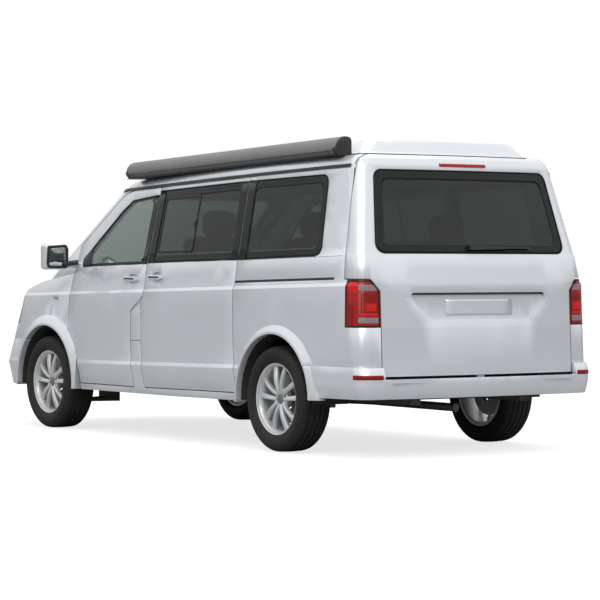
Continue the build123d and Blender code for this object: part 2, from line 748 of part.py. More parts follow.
tower_radius = 62.0
tower_wall = 10.0
tower_y = 644.0
tower_top_z = 904.0
with BuildPart() as front_house:
    add(wheel_house(front_axle_x, front_house_inner_y, 960))
    with BuildSketch(Plane.XY.offset(700)):
        with Locations((front_axle_x, tower_y)):
            Circle(tower_radius + tower_wall)
    extrude(amount=tower_top_z + tower_wall - 700)
    with BuildSketch(Plane.XY.offset(600)):
        with Locations((front_axle_x, tower_y)):
            Circle(tower_radius)
    extrude(amount=tower_top_z - 600, mode=Mode.SUBTRACT)
    add(bay_fit.part, mode=Mode.INTERSECT)

floor_front_x = front_axle_x - house_radius - house_wall - 1.0
cross_front_x = 2290.0
cross_depth = 40.0
towing_eye_y = -300.0
towing_eye_z = 430.0
towing_eye_radius = 9.0
with BuildPart() as floor_pan:
    add(box((-2330, floor_front_x), (-floor_half_width, floor_half_width), (floor_z, floor_top)))
    add(room_fit.part, mode=Mode.INTERSECT)
    for side in (1, -1):
        low_y = min(side * house_inner_y, side * 1000)
        add(box((rear_axle_x - house_radius, rear_axle_x + house_radius), (low_y, low_y + 360), (300, 600)), mode=Mode.SUBTRACT)
    add(rear_house.part)
    add(other_side(rear_house.part))
    for side in (1, -1):
        add(box((-2290, cross_front_x), (side * leg_y - leg_width / 2, side * leg_y + leg_width / 2), (leg_low_z, floor_z)))
    add(box((cross_front_x - cross_depth, cross_front_x), (-leg_y, leg_y), (leg_low_z, floor_z + 130)))
    with BuildSketch(Plane.YZ.offset(cross_front_x)):
        with Locations((towing_eye_y, towing_eye_z)):
            Circle(towing_eye_radius)
    extrude(amount=-cross_depth, mode=Mode.SUBTRACT)
    add(across(rear_axle_x, tyre_radius, -600, 600, rear_beam_radius + beam_clearance), mode=Mode.SUBTRACT)
save(floor_pan, "floor_pan")

with BuildPart() as firewall:
    add(box((firewall_x + seat_gap, firewall_x + firewall_thickness), (-900, 900), (floor_z, 1300)))
    add(bay_fit.part, mode=Mode.INTERSECT)
    add(stack(lower_levels, wall + seat_gap), mode=Mode.INTERSECT)
    add(front_house.part)
    add(other_side(front_house.part))
save(firewall, "firewall")

# ---------------------------------------------------------------- engine, axles, exhaust and tank
with BuildPart() as engine:
    add(box((1640, 2150), (-380, 340), (leg_low_z, 850)))
save(engine, "engine")

king_pin_lean = 8.0
king_pin_y = 716.0
arm_z = 215.0
lean_tan = tan(radians(king_pin_lean))
pin_dir = Vector(0, -sin(radians(king_pin_lean)), cos(radians(king_pin_lean)))
foot_centre = Vector(front_axle_x, king_pin_y + (tyre_radius - arm_z) * lean_tan, arm_z)
boss_radius = 24.0
boss_height = 26.0
with BuildPart() as front_axle:
    add(box((1420, 1700), (-400, 400), (262, leg_low_z - seat_gap)))
    for side in (1, -1):
        foot = Vector(foot_centre.X, side * foot_centre.Y, foot_centre.Z)
        direction = Vector(0, side * pin_dir.Y, pin_dir.Z)
        with BuildSketch(Plane(origin=foot - direction * boss_height, z_dir=direction)):
            Circle(boss_radius)
        extrude(amount=boss_height)
        with BuildSketch(Plane.XY.offset(arm_z - 30)):
            Polygon(
                (front_axle_x - 22, side * (foot_centre.Y - 14)), (front_axle_x + 22, side * (foot_centre.Y - 14)),
                (1700, side * 380), (1640, side * 380), (front_axle_x, side * 560), (1470, side * 380), (1420, side * 380),
                align=None,
            )
        extrude(amount=24)
        add(box((1420, 1700), (min(side * 380, side * 400), max(side * 380, side * 400)), (arm_z - 30, 300)))
save(front_axle, "front_axle")

beam_end_y = 776.0
stub_radius = 30.0
stub_end_y = wheel_y + 50.0
with BuildPart() as rear_axle:
    add(across(rear_axle_x, tyre_radius, -beam_end_y, beam_end_y, rear_beam_radius))
    for side in (1, -1):
        inner, outer = sorted((side * 600, side * stub_end_y))
        add(across(rear_axle_x, tyre_radius, inner, outer, stub_radius))
        with BuildSketch(Plane.XZ.offset(-side * 560 - 30)):
            Polygon((rear_axle_x - 60, 300), (rear_axle_x - 60, 372), (rear_axle_x + 420, floor_z - seat_gap), (rear_axle_x + 420, 330), align=None)
        extrude(amount=-60)
save(rear_axle, "rear_axle")

with BuildPart() as exhaust:
    with BuildLine() as pipe_route:
        FilletPolyline((1400, 150, 300), (900, 150, 288), (-600, 150, 288), (-900, -230, 268), (-1750, -300, 258), radius=110)
    with BuildSketch(Plane(origin=(1400, 150, 300), z_dir=(-500, 0, -12))):
        Circle(27)
    sweep(path=pipe_route.wires()[0])
    add(box((-900, -500), (60, 240), (230, 330)))
    for hanger_x in (-300, 600):
        add(box((hanger_x - 6, hanger_x + 6), (144, 156), (290, floor_z - seat_gap)))
save(exhaust, "exhaust")

# ---------------------------------------------------------------- wheels, tyres and knuckles
rim_width = 190.0
rim_flange = 12.0
barrel_wall = 7.0
stub_clearance = 0.08
hub_radius = 72.0
hub_depth = 60.0
bolt_circle = 120.0
bolt_hole_radius = 9.0
centre_bore_radius = 32.0
spoke_pairs = 5
spoke_inner_half = 15.0
spoke_outer_half = 11.0
spoke_splay = 11.0
spoke_depth = 26.0
disc_radius = 160.0
disc_thickness = 24.0
tread_depth = 7.0
groove_width = 9.0
groove_offsets = (-58.0, -20.0, 20.0, 58.0)

with BuildPart() as tyre_form:
    half = tyre_width / 2
    with BuildSketch(Plane.YZ):
        with BuildLine():
            Polyline(
                (-half + 29, rim_radius),
                (-half + 29, rim_radius + 14),
                (-half + 8, rim_radius + 32),
                (-half, rim_radius + 58),
                (-half + 8, tyre_radius - 26),
                (-half + 26, tyre_radius - 5),
                (-half + 50, tyre_radius),
                (half - 50, tyre_radius),
                (half - 26, tyre_radius - 5),
                (half - 8, tyre_radius - 26),
                (half, rim_radius + 58),
                (half - 8, rim_radius + 32),
                (half - 29, rim_radius + 14),
                (half - 29, rim_radius),
                close=True,
            )
        make_face()
        for groove in groove_offsets:
            with Locations((groove, tyre_radius)):
                Rectangle(groove_width, 2 * tread_depth, mode=Mode.SUBTRACT)
    revolve(axis=Axis.Y)

with BuildPart() as rim_form:
    half = rim_width / 2
    lip = rim_radius + rim_flange
    with BuildSketch(Plane.YZ):
        with BuildLine():
            Polyline(
                (-half, lip), (-half + 6, lip), (-half + 6, rim_radius - seat_gap), (half - 6, rim_radius - seat_gap),
                (half - 6, lip), (half, lip), (half, rim_radius - 12), (half - 34, rim_radius - 24),
                (-half, rim_radius - 24), close=True,
            )
        make_face()
    revolve(axis=Axis.Y)
    spoke_face_y = half - 26
    with BuildSketch(Plane.XZ.offset(-spoke_face_y)):
        Circle(hub_radius)
    extrude(amount=hub_depth)
    with BuildSketch(Plane.XZ.offset(-spoke_face_y)):
        for pair in range(spoke_pairs):
            for sign in (1, -1):
                with Locations(Rot(0, 0, 90 + pair * 360 / spoke_pairs)):
                    Polygon(
                        (hub_radius - 20, sign * 4), (hub_radius - 20, sign * (4 + 2 * spoke_inner_half)),
                        (rim_radius - 16, sign * (spoke_splay + 2 * spoke_outer_half + 16)),
                        (rim_radius - 16, sign * (spoke_splay + 14)), align=None,
                    )
    extrude(amount=spoke_depth)
    with BuildSketch(Plane.XZ.offset(-spoke_face_y)):
        with PolarLocations(bolt_circle / 2, spoke_pairs, start_angle=90):
            Circle(bolt_hole_radius)
    extrude(amount=18, mode=Mode.SUBTRACT)
    with BuildSketch(Plane.XZ.offset(-spoke_face_y + 56)):
        Circle(disc_radius)
        Circle(stub_radius + stub_clearance, mode=Mode.SUBTRACT)
    extrude(amount=disc_thickness)
    with BuildSketch(Plane.XZ.offset(-spoke_face_y + 56 + disc_thickness)):
        Circle(stub_radius + stub_clearance)
    extrude(amount=-(56 + disc_thickness - 12), mode=Mode.SUBTRACT)

# Hub carrier: a boss round the stub, a neck that climbs inboard of the tyre, the strut and the foot on its ball.
strut_top_z = 898.0
strut_radius = 25.0
strut_foot = Vector(front_axle_x, 652, 560)
strut_head = Vector(front_axle_x, 634, strut_top_z)
with BuildPart() as knuckle_left:
    add(across(front_axle_x, tyre_radius, wheel_y - 14, stub_end_y, stub_radius))
    add(across(front_axle_x, tyre_radius, king_pin_y - 22, wheel_y - 14, 50))
    with BuildSketch(Plane(origin=foot_centre + pin_dir * seat_gap, z_dir=pin_dir)):
        Circle(boss_radius)
    extrude(amount=110)
    with BuildSketch(Plane.YZ.offset(front_axle_x - 20)):
        Polygon(
            (king_pin_y - 16, tyre_radius), (king_pin_y + 16, tyre_radius), (king_pin_y + 6, 488), (682, 520),
            (676, 590), (638, 590), (638, 530), (king_pin_y - 24, 470), align=None,
        )
    extrude(amount=40)
    with BuildSketch(Plane(origin=strut_foot, z_dir=strut_head - strut_foot)):
        Circle(strut_radius)
    extrude(amount=(strut_head - strut_foot).length)
    add(box((front_axle_x - 150, front_axle_x - 20), (king_pin_y - 20, king_pin_y + 4), (tyre_radius - 40, tyre_radius - 20)))
save(knuckle_left, "knuckle_left")
with BuildPart() as knuckle_right:
    add(other_side(knuckle_left.part))
save(knuckle_right, "knuckle_right")

# Each wheel is the same form, turned over on the right so that its face looks outwards.
for corner, axle_x, side in (("fl", front_axle_x, 1), ("fr", front_axle_x, -1), ("rl", rear_axle_x, 1), ("rr", rear_axle_x, -1)):
    for form, kind in ((tyre_form, "tyre"), (rim_form, "rim")):
        with BuildPart() as wheel_piece:
            add(form.part if side > 0 else other_side(form.part))
        wheel_piece.part.locate(Location((axle_x, side * wheel_y, tyre_radius)))
        save(wheel_piece, f"{kind}_{corner}")

# ---------------------------------------------------------------- awning, gutter strips and track
awning_front_x = 575.0
awning_rear_x = -1978.0
awning_inner_y = 692.0
awning_outer_y = 818.0
awning_lift = 5.0
awning_height = 112.0
end_cap = 20.0
with BuildPart() as awning:
    rear_point = roof_plane(0).from_local_coords((awning_rear_x, 0, 0))
    section_plane = Plane(origin=rear_point, x_dir=(0, 1, 0), z_dir=roof_plane(0).x_dir)
    with BuildSketch(section_plane):
        with BuildLine():
            Line((awning_inner_y, awning_lift), (awning_inner_y, awning_height - 8))
            Line((awning_inner_y, awning_height - 8), (awning_inner_y + 22, awning_height + awning_lift))
            ThreePointArc(
                (awning_inner_y + 22, awning_height + awning_lift), (awning_outer_y - 14, 84), (awning_outer_y, 34)
            )
            Line((awning_outer_y, 34), (awning_outer_y - 24, awning_lift))
            Line((awning_outer_y - 24, awning_lift), (awning_inner_y, awning_lift))
        make_face()
    extrude(amount=awning_front_x - awning_rear_x)
save(awning, "awning")

with BuildPart() as awning_brackets:
    for bracket_x in (-1890, -700, 490):
        with BuildSketch(roof_plane(seat_gap)):
            with Locations((bracket_x, awning_inner_y + 26)):
                Rectangle(90, 52)
        extrude(amount=awning_lift - 2 * seat_gap)
save(awning_brackets, "awning_brackets")

# ---------------------------------------------------------------- cab and cabin
seat_x = 330.0
seat_y = 405.0
seat_top_z = 770.0


def front_seat(y):
    """Driver's or passenger's seat: plinth, cushion, backrest and head restraint."""
    with BuildPart() as seat:
        add(box((seat_x - 190, seat_x + 170), (y - 190, y + 190), (floor_top + seat_gap, seat_top_z - 120)))
        add(side_block([(seat_x - 230, seat_top_z - 120), (seat_x + 290, seat_top_z - 120), (seat_x + 290, seat_top_z + 10), (seat_x - 230, seat_top_z - 30)], y - 250, y + 250, 30))
        add(side_block([(seat_x - 250, seat_top_z - 110), (seat_x - 110, seat_top_z - 60), (seat_x - 250, seat_top_z + 600), (seat_x - 350, seat_top_z + 600)], y - 245, y + 245, 30))
        add(side_block([(seat_x - 356, seat_top_z + 610), (seat_x - 270, seat_top_z + 610), (seat_x - 290, seat_top_z + 780), (seat_x - 360, seat_top_z + 780)], y - 130, y + 130, 25))
        for post_y in (y - 60, y + 60):
            add(box((seat_x - 320, seat_x - 306), (post_y - 7, post_y + 7), (seat_top_z + 590, seat_top_z + 640)))
    return seat.part


with BuildPart() as front_seats:
    add(front_seat(seat_y))
    add(front_seat(-seat_y))
save(front_seats, "front_seats")

bench_x = -1180.0
bench_half_width = 600.0
with BuildPart() as rear_bench:
    add(box((bench_x - 260, bench_x + 240), (-bench_half_width, bench_half_width), (floor_top + seat_gap, 690)))
    add(side_block([(bench_x - 300, 690), (bench_x + 290, 690), (bench_x + 290, 830), (bench_x - 300, 800)], -bench_half_width, bench_half_width, 30))
    add(side_block([(bench_x - 320, 700), (bench_x - 180, 780), (bench_x - 330, 1330), (bench_x - 440, 1330)], -bench_half_width, bench_half_width, 30))
    for head_y in (-340, 340):
        add(side_block([(bench_x - 446, 1340), (bench_x - 360, 1340), (bench_x - 380, 1500), (bench_x - 450, 1500)], head_y - 130, head_y + 130, 25))
        for post_y in (head_y - 60, head_y + 60):
            add(box((bench_x - 410, bench_x - 396), (post_y - 7, post_y + 7), (1310, 1360)))
save(rear_bench, "rear_bench")

dash_half_width = 780.0
dash_outline = [
    (firewall_x - seat_gap, 640), (firewall_x - seat_gap, 1150), (960, 1142), (850, 1090), (812, 970), (850, 800), (930, 640)
]
wheel_axis = Vector(-0.83, 0, 0.5577)
steering_centre = Vector(700, -400, 1075)
steering_radius = 186.0
steering_rim = 15.0
column_radius = 26.0
with BuildPart() as dashboard:
    add(side_block(dash_outline, -dash_half_width, dash_half_width, 24))
    add(side_block([(firewall_x - 200, 960), (firewall_x - 200, 1158), (860, 1158), (826, 1080), (840, 960)], -570, -230, 20))
    with BuildSketch(Plane(origin=steering_centre - wheel_axis * 40, z_dir=-wheel_axis)):
        Circle(column_radius)
    extrude(amount=210)
save(dashboard, "dashboard")

with BuildPart() as steering_wheel:
    steering_plane = Plane(origin=steering_centre, x_dir=(0, 1, 0), z_dir=wheel_axis)
    with BuildSketch(Plane(origin=steering_centre, x_dir=(0, 1, 0), z_dir=steering_plane.y_dir)):
        with Locations((steering_radius, 0)):
            Circle(steering_rim)
    revolve(axis=Axis(steering_centre, wheel_axis))
    with BuildSketch(steering_plane.offset(-39.7)):
        Circle(60)
    extrude(amount=52)
    with BuildSketch(steering_plane.offset(-10)):
        with Locations((0, 0)):
            Rectangle(2 * steering_radius - 8, 44)
        with Locations((0, -steering_radius / 2)):
            Rectangle(44, steering_radius - 8)
    extrude(amount=16)
save(steering_wheel, "steering_wheel")

# ---------------------------------------------------------------- mirrors, wipers, fuel flap
mirror_centre = (1202, 1046, 1246)
mirror_size = (92, 190, 186)
with BuildPart() as mirror_left:
    with Locations(mirror_centre):
        Box(*mirror_size)
    fillet(mirror_left.edges(), 28)
    with Locations((mirror_centre[0] - mirror_size[0] / 2, mirror_centre[1] + 2, mirror_centre[2] + 2)):
        Box(16, mirror_size[1] - 34, mirror_size[2] - 34, mode=Mode.SUBTRACT)
    add(side_block([(1170, 1190), (1236, 1190), (1236, 1160), (1170, 1160)], 800, 1000))
    add(stack(upper_levels, -seat_gap), mode=Mode.SUBTRACT)
save(mirror_left, "mirror_left")
with BuildPart() as mirror_right:
    add(other_side(mirror_left.part))
save(mirror_right, "mirror_right")


# Skins that stand off the upper body: seats of the trim, then its thickness, then the wipers' heights.
trim_height = 7.0
blade_low = 8.0
blade_high = 20.0
arm_high = 30.0
glass_seat = seat_gap - glass_inset
proud_heights = (glass_seat, seat_gap, trim_height, blade_low, blade_high, arm_high)
proud_skins = {height: stack(upper_levels, -height) for height in proud_heights}


def proud_band(low, high, block):
    """Band that stands off the body's form between two heights above it, inside an outline."""
    with BuildPart() as band:
        add(block)
        add(proud_skins[high], mode=Mode.INTERSECT)
        add(proud_skins[low], mode=Mode.SUBTRACT)
    return band.part


gutter_climb = tan(roof_climb)
strip_low_z = 1724.0
strip_height = 20.0
strip_ends = (800.0, -2086.0)
strip_outline = [(x, strip_low_z - x * gutter_climb) for x in strip_ends]
strip_outline += [(x, strip_low_z + strip_height - x * gutter_climb) for x in reversed(strip_ends)]
with BuildPart() as track_bar:
    add(side_block(track_slot, 500, 1000))
    add(stack(lower_levels, 2), mode=Mode.INTERSECT)
    add(stack(lower_levels, track_depth - seat_gap), mode=Mode.SUBTRACT)

with BuildPart() as side_rails:
    strip = proud_band(seat_gap, trim_height, side_block(strip_outline, 600, 1000))
    add(strip)
    add(other_side(strip))
    add(track_bar.part)
save(side_rails, "side_rails")

with BuildPart() as fuel_flap:
    add(lower_outer)
    add(stack(lower_levels, flap_thickness), mode=Mode.SUBTRACT)
    add(side_block(flap_seam, 500, 1000, 0, -half_gap), mode=Mode.INTERSECT)
save(fuel_flap, "fuel_flap")

brake_bar = [(-180, 1796), (180, 1796), (180, 1814), (-180, 1814)]
with BuildPart() as tailgate_lamp:
    add(proud_band(seat_gap, trim_height, rear_block(brake_bar, -2600, -2000)))
save(tailgate_lamp, "tailgate_lamp")

wiper_z = 1290.0
wiper_y = 48.0
with BuildPart() as rear_wiper:
    add(proud_band(blade_low, blade_high, rear_block([(-440, 1284), (-60, 1284), (-60, 1296), (-440, 1296)], -2600, -2000)))
    add(proud_band(blade_high, arm_high, rear_block([(-250, 1283), (62, 1276), (62, 1304), (-250, 1297)], -2600, -2000)))
    add(proud_band(glass_seat, arm_high, rear_block([(34, 1276), (62, 1276), (62, 1304), (34, 1304)], -2600, -2000)))
save(rear_wiper, "rear_wiper")

with BuildPart() as front_wipers:
    for y_outer, y_inner, z_outer, z_inner in ((640, 60, 1150, 1176), (-20, -600, 1180, 1158)):
        blade = [(y_outer, z_outer), (y_inner, z_inner), (y_inner, z_inner + 12), (y_outer, z_outer + 12)]
        add(proud_band(blade_low, blade_high, rear_block(blade, 1400, 2100)))
        arm = [(y_outer - 40, z_outer - 30), (y_outer - 40, z_outer - 8), ((y_outer + y_inner) / 2, (z_outer + z_inner) / 2 + 12), ((y_outer + y_inner) / 2, (z_outer + z_inner) / 2)]
        add(proud_band(blade_high, arm_high, rear_block(arm, 1400, 2100)))
        spindle = [(y_outer - 40, z_outer - 30), (y_outer - 64, z_outer - 30), (y_outer - 64, z_outer - 4), (y_outer - 40, z_outer - 8)]
        add(proud_band(glass_seat, arm_high, rear_block(spindle, 1400, 2100)))
save(front_wipers, "front_wipers")
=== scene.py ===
"""Looks of the camper van: the finish of every node and the fine pieces round them, in metres.

X points forward, Y to the van's left and Z up, as in the solids.
"""

import math

import bmesh
import bpy
import numpy as np
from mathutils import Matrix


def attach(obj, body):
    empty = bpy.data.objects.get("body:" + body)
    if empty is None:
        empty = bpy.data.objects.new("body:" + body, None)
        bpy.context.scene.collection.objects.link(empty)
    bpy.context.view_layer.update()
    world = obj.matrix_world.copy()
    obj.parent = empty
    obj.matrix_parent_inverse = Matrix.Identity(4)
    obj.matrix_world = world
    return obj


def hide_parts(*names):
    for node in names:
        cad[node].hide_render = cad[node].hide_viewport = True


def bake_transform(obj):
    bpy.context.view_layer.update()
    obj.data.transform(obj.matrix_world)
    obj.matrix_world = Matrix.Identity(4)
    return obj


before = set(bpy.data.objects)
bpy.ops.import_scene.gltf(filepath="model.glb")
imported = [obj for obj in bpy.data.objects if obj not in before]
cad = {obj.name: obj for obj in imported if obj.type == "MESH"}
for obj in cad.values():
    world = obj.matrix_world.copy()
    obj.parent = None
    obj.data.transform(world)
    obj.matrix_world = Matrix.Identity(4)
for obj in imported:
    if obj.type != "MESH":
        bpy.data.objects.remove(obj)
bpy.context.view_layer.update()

# ---------------------------------------------------------------- the body's form, as the solids have it
# One row for each level: height, climb towards the tail in degrees, x of the tail at the middle and at the
# corner, half width at the tail, the middle and the nose, x of the nose at the corner and at the middle, and
# the radii of the tail's and the nose's corners.
LOWER_LEVELS = np.array([
    (0.300, 0.5, -2.418, -2.366, 0.893, 0.916, 0.880, 2.245, 2.405, 0.110, 0.250),
    (0.502, 0.8, -2.412, -2.360, 0.916, 0.944, 0.900, 2.290, 2.464, 0.105, 0.260),
    (0.526, 0.8, -2.410, -2.358, 0.909, 0.935, 0.893, 2.288, 2.460, 0.105, 0.260),
    (1.003, 1.3, -2.388, -2.336, 0.902, 0.932, 0.850, 2.110, 2.290, 0.100, 0.240),
    (1.024, 1.3, -2.384, -2.332, 0.889, 0.919, 0.838, 2.100, 2.280, 0.095, 0.235),
    (1.197, 1.3, -2.350, -2.298, 0.868, 0.900, 0.800, 1.985, 2.150, 0.090, 0.220),
])
UPPER_LEVELS = np.array([
    (1.040, 1.3, -2.344, -2.292, 0.852, 0.886, 0.826, 1.850, 1.960, 0.090, 0.170),
    (1.197, 1.3, -2.346, -2.294, 0.865, 0.898, 0.812, 1.608, 1.722, 0.090, 0.150),
    (1.738, 1.7, -2.204, -2.158, 0.768, 0.800, 0.724, 0.785, 0.892, 0.100, 0.130),
    (1.776, 1.7, -2.186, -2.140, 0.752, 0.786, 0.708, 0.712, 0.815, 0.100, 0.125),
    (1.800, 1.7, -2.160, -2.114, 0.726, 0.760, 0.680, 0.640, 0.742, 0.095, 0.115),
])


SHOULDER_CLIMB = 0.0227  # rise towards the tail, about the tangent of 1.3 degrees
TAIL_SHOULDER_Z = 1.243  # where the lower form ends at the tail


def level_arcs(levels, part):
    """Each level's arc for the side, the tail or the nose: centre along and across, radius, two end angles.

    The side is the circle through the tail corner, the widest point and the nose corner. The tail and the
    nose are circles through their corners and their middle. The ends stand off the corners by the tangent
    length of the corner round.
    """
    arcs = []
    for _, _, tail_x, tail_corner, tail_y, side_y, nose_y, nose_corner, nose_x, tail_r, nose_r in levels:
        middle = (tail_corner + nose_corner) / 2
        points = np.array([(tail_corner, tail_y), (middle, side_y), (nose_corner, nose_y)])
        matrix = np.column_stack([2 * points, np.ones(3)])
        centre_x, centre_y, rest = np.linalg.solve(matrix, (points**2).sum(1))
        side_radius = math.sqrt(rest + centre_x**2 + centre_y**2)
        tail_slope = math.asin((centre_x - tail_corner) / side_radius)
        nose_slope = math.asin((nose_corner - centre_x) / side_radius)
        ends = {}
        for name, sag, half, slope, corner_r in (
            ("tail", tail_corner - tail_x, tail_y, tail_slope, tail_r),
            ("nose", nose_x - nose_corner, nose_y, nose_slope, nose_r),
        ):
            radius = (half**2 + sag**2) / (2 * sag)
            meeting = math.pi / 2 + slope + math.asin(half / radius)
            ends[name] = (radius, half, corner_r / math.tan(meeting / 2))
        if part == "side":
            start = tail_corner + ends["tail"][2]
            end = nose_corner - ends["nose"][2]
            arcs.append(
                (
                    centre_x, centre_y, side_radius, math.asin((start - centre_x) / side_radius),
                    math.asin((end - centre_x) / side_radius),
                ),
            )
        else:
            radius, half, length = ends[part]
            reach = math.asin((half - length * math.cos(math.asin(half / radius))) / radius)
            across = tail_x + radius if part == "tail" else nose_x - radius
            arcs.append((0.0, across, -radius if part == "tail" else radius, -reach, reach))
    return np.array(arcs)


def ruled_depth(levels, part, along, z):
    """How far out the ruled skin lies at a place along one of its sides and a height, for whole arrays.

    Between two levels the rulings join equal shares of their arcs, so share and height fraction are solved
    together.
    """
    arcs = level_arcs(levels, part)
    along, z = np.broadcast_arrays(np.asarray(along, float), np.asarray(z, float))
    result = np.zeros(along.shape)
    climbs = np.tan(np.radians(levels[:, 1]))

    def on_arc(row, share):
        angle = arcs[row, 3] + share * (arcs[row, 4] - arcs[row, 3])
        place_along = arcs[row, 0] + abs(arcs[row, 2]) * np.sin(angle)
        place_across = arcs[row, 1] + arcs[row, 2] * np.cos(angle)
        x = place_along if part == "side" else place_across
        return place_along, place_across, levels[row, 0] - x * climbs[row]

    last = len(levels) - 2
    for row in range(last + 1):
        share = np.full(along.shape, 0.5)
        height = np.full(along.shape, 0.5)
        for _ in range(10):
            low, high = on_arc(row, share), on_arc(row + 1, share)
            span_low = on_arc(row, share + 0.01)[0] - low[0]
            span_high = on_arc(row + 1, share + 0.01)[0] - high[0]
            error = along - ((1 - height) * low[0] + height * high[0])
            share = share + 0.01 * error / ((1 - height) * span_low + height * span_high)
            share = np.clip(share, -0.2, 1.2)
            height = np.clip((z - low[2]) / (high[2] - low[2]), -2.0, 3.0)
        low, high = on_arc(row, share), on_arc(row + 1, share)
        depth = (1 - height) * low[1] + height * high[1]
        inside = (height >= (0 if row else -9)) & (height < (1 if row < last else 9))
        result = np.where(inside, depth, result)
    return result


def side_skin(x, z, lift, side=1):
    """Points on the body's side at x and z, lifted straight out; side is 1 for left and -1 for right."""
    climb = x * SHOULDER_CLIMB
    lower = np.where(z < LOWER_LEVELS[-1, 0] - climb, ruled_depth(LOWER_LEVELS, "side", x, z), 0)
    upper = np.where(z > UPPER_LEVELS[0, 0] - climb, ruled_depth(UPPER_LEVELS, "side", x, z), 0)
    y = np.maximum(lower, upper) + lift
    return np.stack([x, side * y, z + 0 * x], -1)


def side_surface(side):
    """The skin of one side as a surface of x, z and lift."""
    return lambda x, z, lift: side_skin(x, z, lift, side)


def tail_skin(y, z, lift):
    """Points on the body's tail at y and z, lifted straight back."""
    lower = ruled_depth(LOWER_LEVELS, "tail", y, z)
    upper = ruled_depth(UPPER_LEVELS, "tail", y, z)
    x = np.where(z > TAIL_SHOULDER_Z, upper, lower) - lift
    return np.stack([x, y + 0 * x, z + 0 * x], -1)


def nose_skin(y, z, lift, levels=UPPER_LEVELS):
    """Points on the body's front at y and z, lifted forward; with the lower levels, on the fascia."""
    x = ruled_depth(levels, "nose", y, z) + lift
    return np.stack([x, y + 0 * x, z + 0 * x], -1)


# ---------------------------------------------------------------- outlines and grids
def rounded(corners, radius, steps=6, spans=8):
    """A closed outline with rounded corners: an arc at each corner, even points along each straight run."""
    corners = np.array(corners, float)
    before = np.roll(corners, 1, 0) - corners
    after = np.roll(corners, -1, 0) - corners
    before /= np.linalg.norm(before, axis=1)[:, None]
    after /= np.linalg.norm(after, axis=1)[:, None]
    half_angle = np.arccos(np.clip((before * after).sum(1), -1, 1)) / 2
    radii = np.broadcast_to(np.asarray(radius, float), half_angle.shape)
    reach = radii / np.tan(half_angle)
    start = corners + before * reach[:, None]
    end = corners + after * reach[:, None]
    t = np.linspace(0, 1, steps)[None, :, None]
    arc = (1 - t) ** 2 * start[:, None] + 2 * t * (1 - t) * (
        corners * 0.75 + (start + end) * 0.125
    )[:, None] + t**2 * end[:, None]
    s = (np.arange(1, spans) / spans)[None, :, None]
    run = end[:, None] + s * (np.roll(start, -1, 0) - end)[:, None]
    return np.concatenate([arc, run], 1).reshape(-1, 2)


def inset(corners, amount):
    """The same corners with every side moved inwards by the amount; the outline may turn either way."""
    corners = np.array(corners, float)
    ahead = np.roll(corners, -1, 0) - corners
    ahead /= np.linalg.norm(ahead, axis=1)[:, None]
    area = (corners[:, 0] * np.roll(corners[:, 1], -1) - corners[:, 1] * np.roll(corners[:, 0], -1)).sum()
    normal = np.stack([-ahead[:, 1], ahead[:, 0]], 1) * np.sign(area)
    last_normal = np.roll(normal, 1, 0)
    share = amount / (1 + (normal * last_normal).sum(1))
    return corners + (normal + last_normal) * share[:, None]


def grid_faces(rows, columns, wrap_rows=False, wrap_columns=False):
    """Quads between neighbouring points of a grid, with either way closed on itself when asked."""
    row = np.arange(rows if wrap_rows else rows - 1)
    column = np.arange(columns if wrap_columns else columns - 1)
    r, c = np.meshgrid(row, column, indexing="ij")
    next_r = (r + 1) % rows
    next_c = (c + 1) % columns
    quads = np.stack(
        [r * columns + c, next_r * columns + c, next_r * columns + next_c, r * columns + next_c], -1,
    )
    return quads.reshape(-1, 4)


def mesh_piece(name, points, faces, material, body, slot=None, smooth=True, merge=0.0):
    """Puts arrays of points and faces into a mesh, turns its faces outwards and lets it ride on a body."""
    mesh = bpy.data.meshes.new(name)
    faces = faces.tolist() if isinstance(faces, np.ndarray) else faces
    mesh.from_pydata(np.asarray(points).reshape(-1, 3).tolist(), [], faces)
    piece = bpy.data.objects.new(name, mesh)
    bpy.context.scene.collection.objects.link(piece)
    work = bmesh.new()
    work.from_mesh(mesh)
    bmesh.ops.remove_doubles(work, verts=work.verts, dist=max(merge, 1e-6))
    bmesh.ops.recalc_face_normals(work, faces=work.faces)
    work.to_mesh(mesh)
    work.free()
    mesh.shade_smooth() if smooth else mesh.shade_flat()
    mesh.materials.append(material)
    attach(piece, body)
    return piece


# ---------------------------------------------------------------- node groups shared by the finishes
def linear(red, green, blue):
    """Scene-linear colour of an sRGB colour given in 0 to 255."""
    values = np.array([red, green, blue], float) / 255
    values = np.where(values <= 0.04045, values / 12.92, ((values + 0.055) / 1.055) ** 2.4)
    return (*values.tolist(), 1.0)


def new_group(name, inputs, outputs):
    """An empty shader group; inputs are (name, kind, default) and outputs are (name, kind)."""
    group = bpy.data.node_groups.new(name, "ShaderNodeTree")
    for label, kind, default in inputs:
        socket = group.interface.new_socket(name=label, in_out="INPUT", socket_type=kind)
        socket.default_value = default
    for label, kind in outputs:
        group.interface.new_socket(name=label, in_out="OUTPUT", socket_type=kind)
    start = group.nodes.new("NodeGroupInput")
    end = group.nodes.new("NodeGroupOutput")
    return group, start, end


def feed(tree, socket, value):
    """Links an input socket to an output, or sets its plain value."""
    if isinstance(value, bpy.types.NodeSocket):
        tree.links.new(value, socket)
    else:
        socket.default_value = value


def place(tree, kind, **settings):
    """A new node in a tree with its settings; keys that start with in_ feed the socket of that name."""
    node = tree.nodes.new(kind)
    for key, value in settings.items():
        if key.startswith("in_"):
            feed(tree, node.inputs[key[3:].replace("_", " ")], value)
        else:
            setattr(node, key, value)
    return node


def texture(tree, kind, **settings):
    """A texture node laid out in object coordinates."""
    coords = place(tree, "ShaderNodeTexCoord")
    return place(tree, f"ShaderNodeTex{kind}", in_Vector=coords.outputs["Object"], **settings)


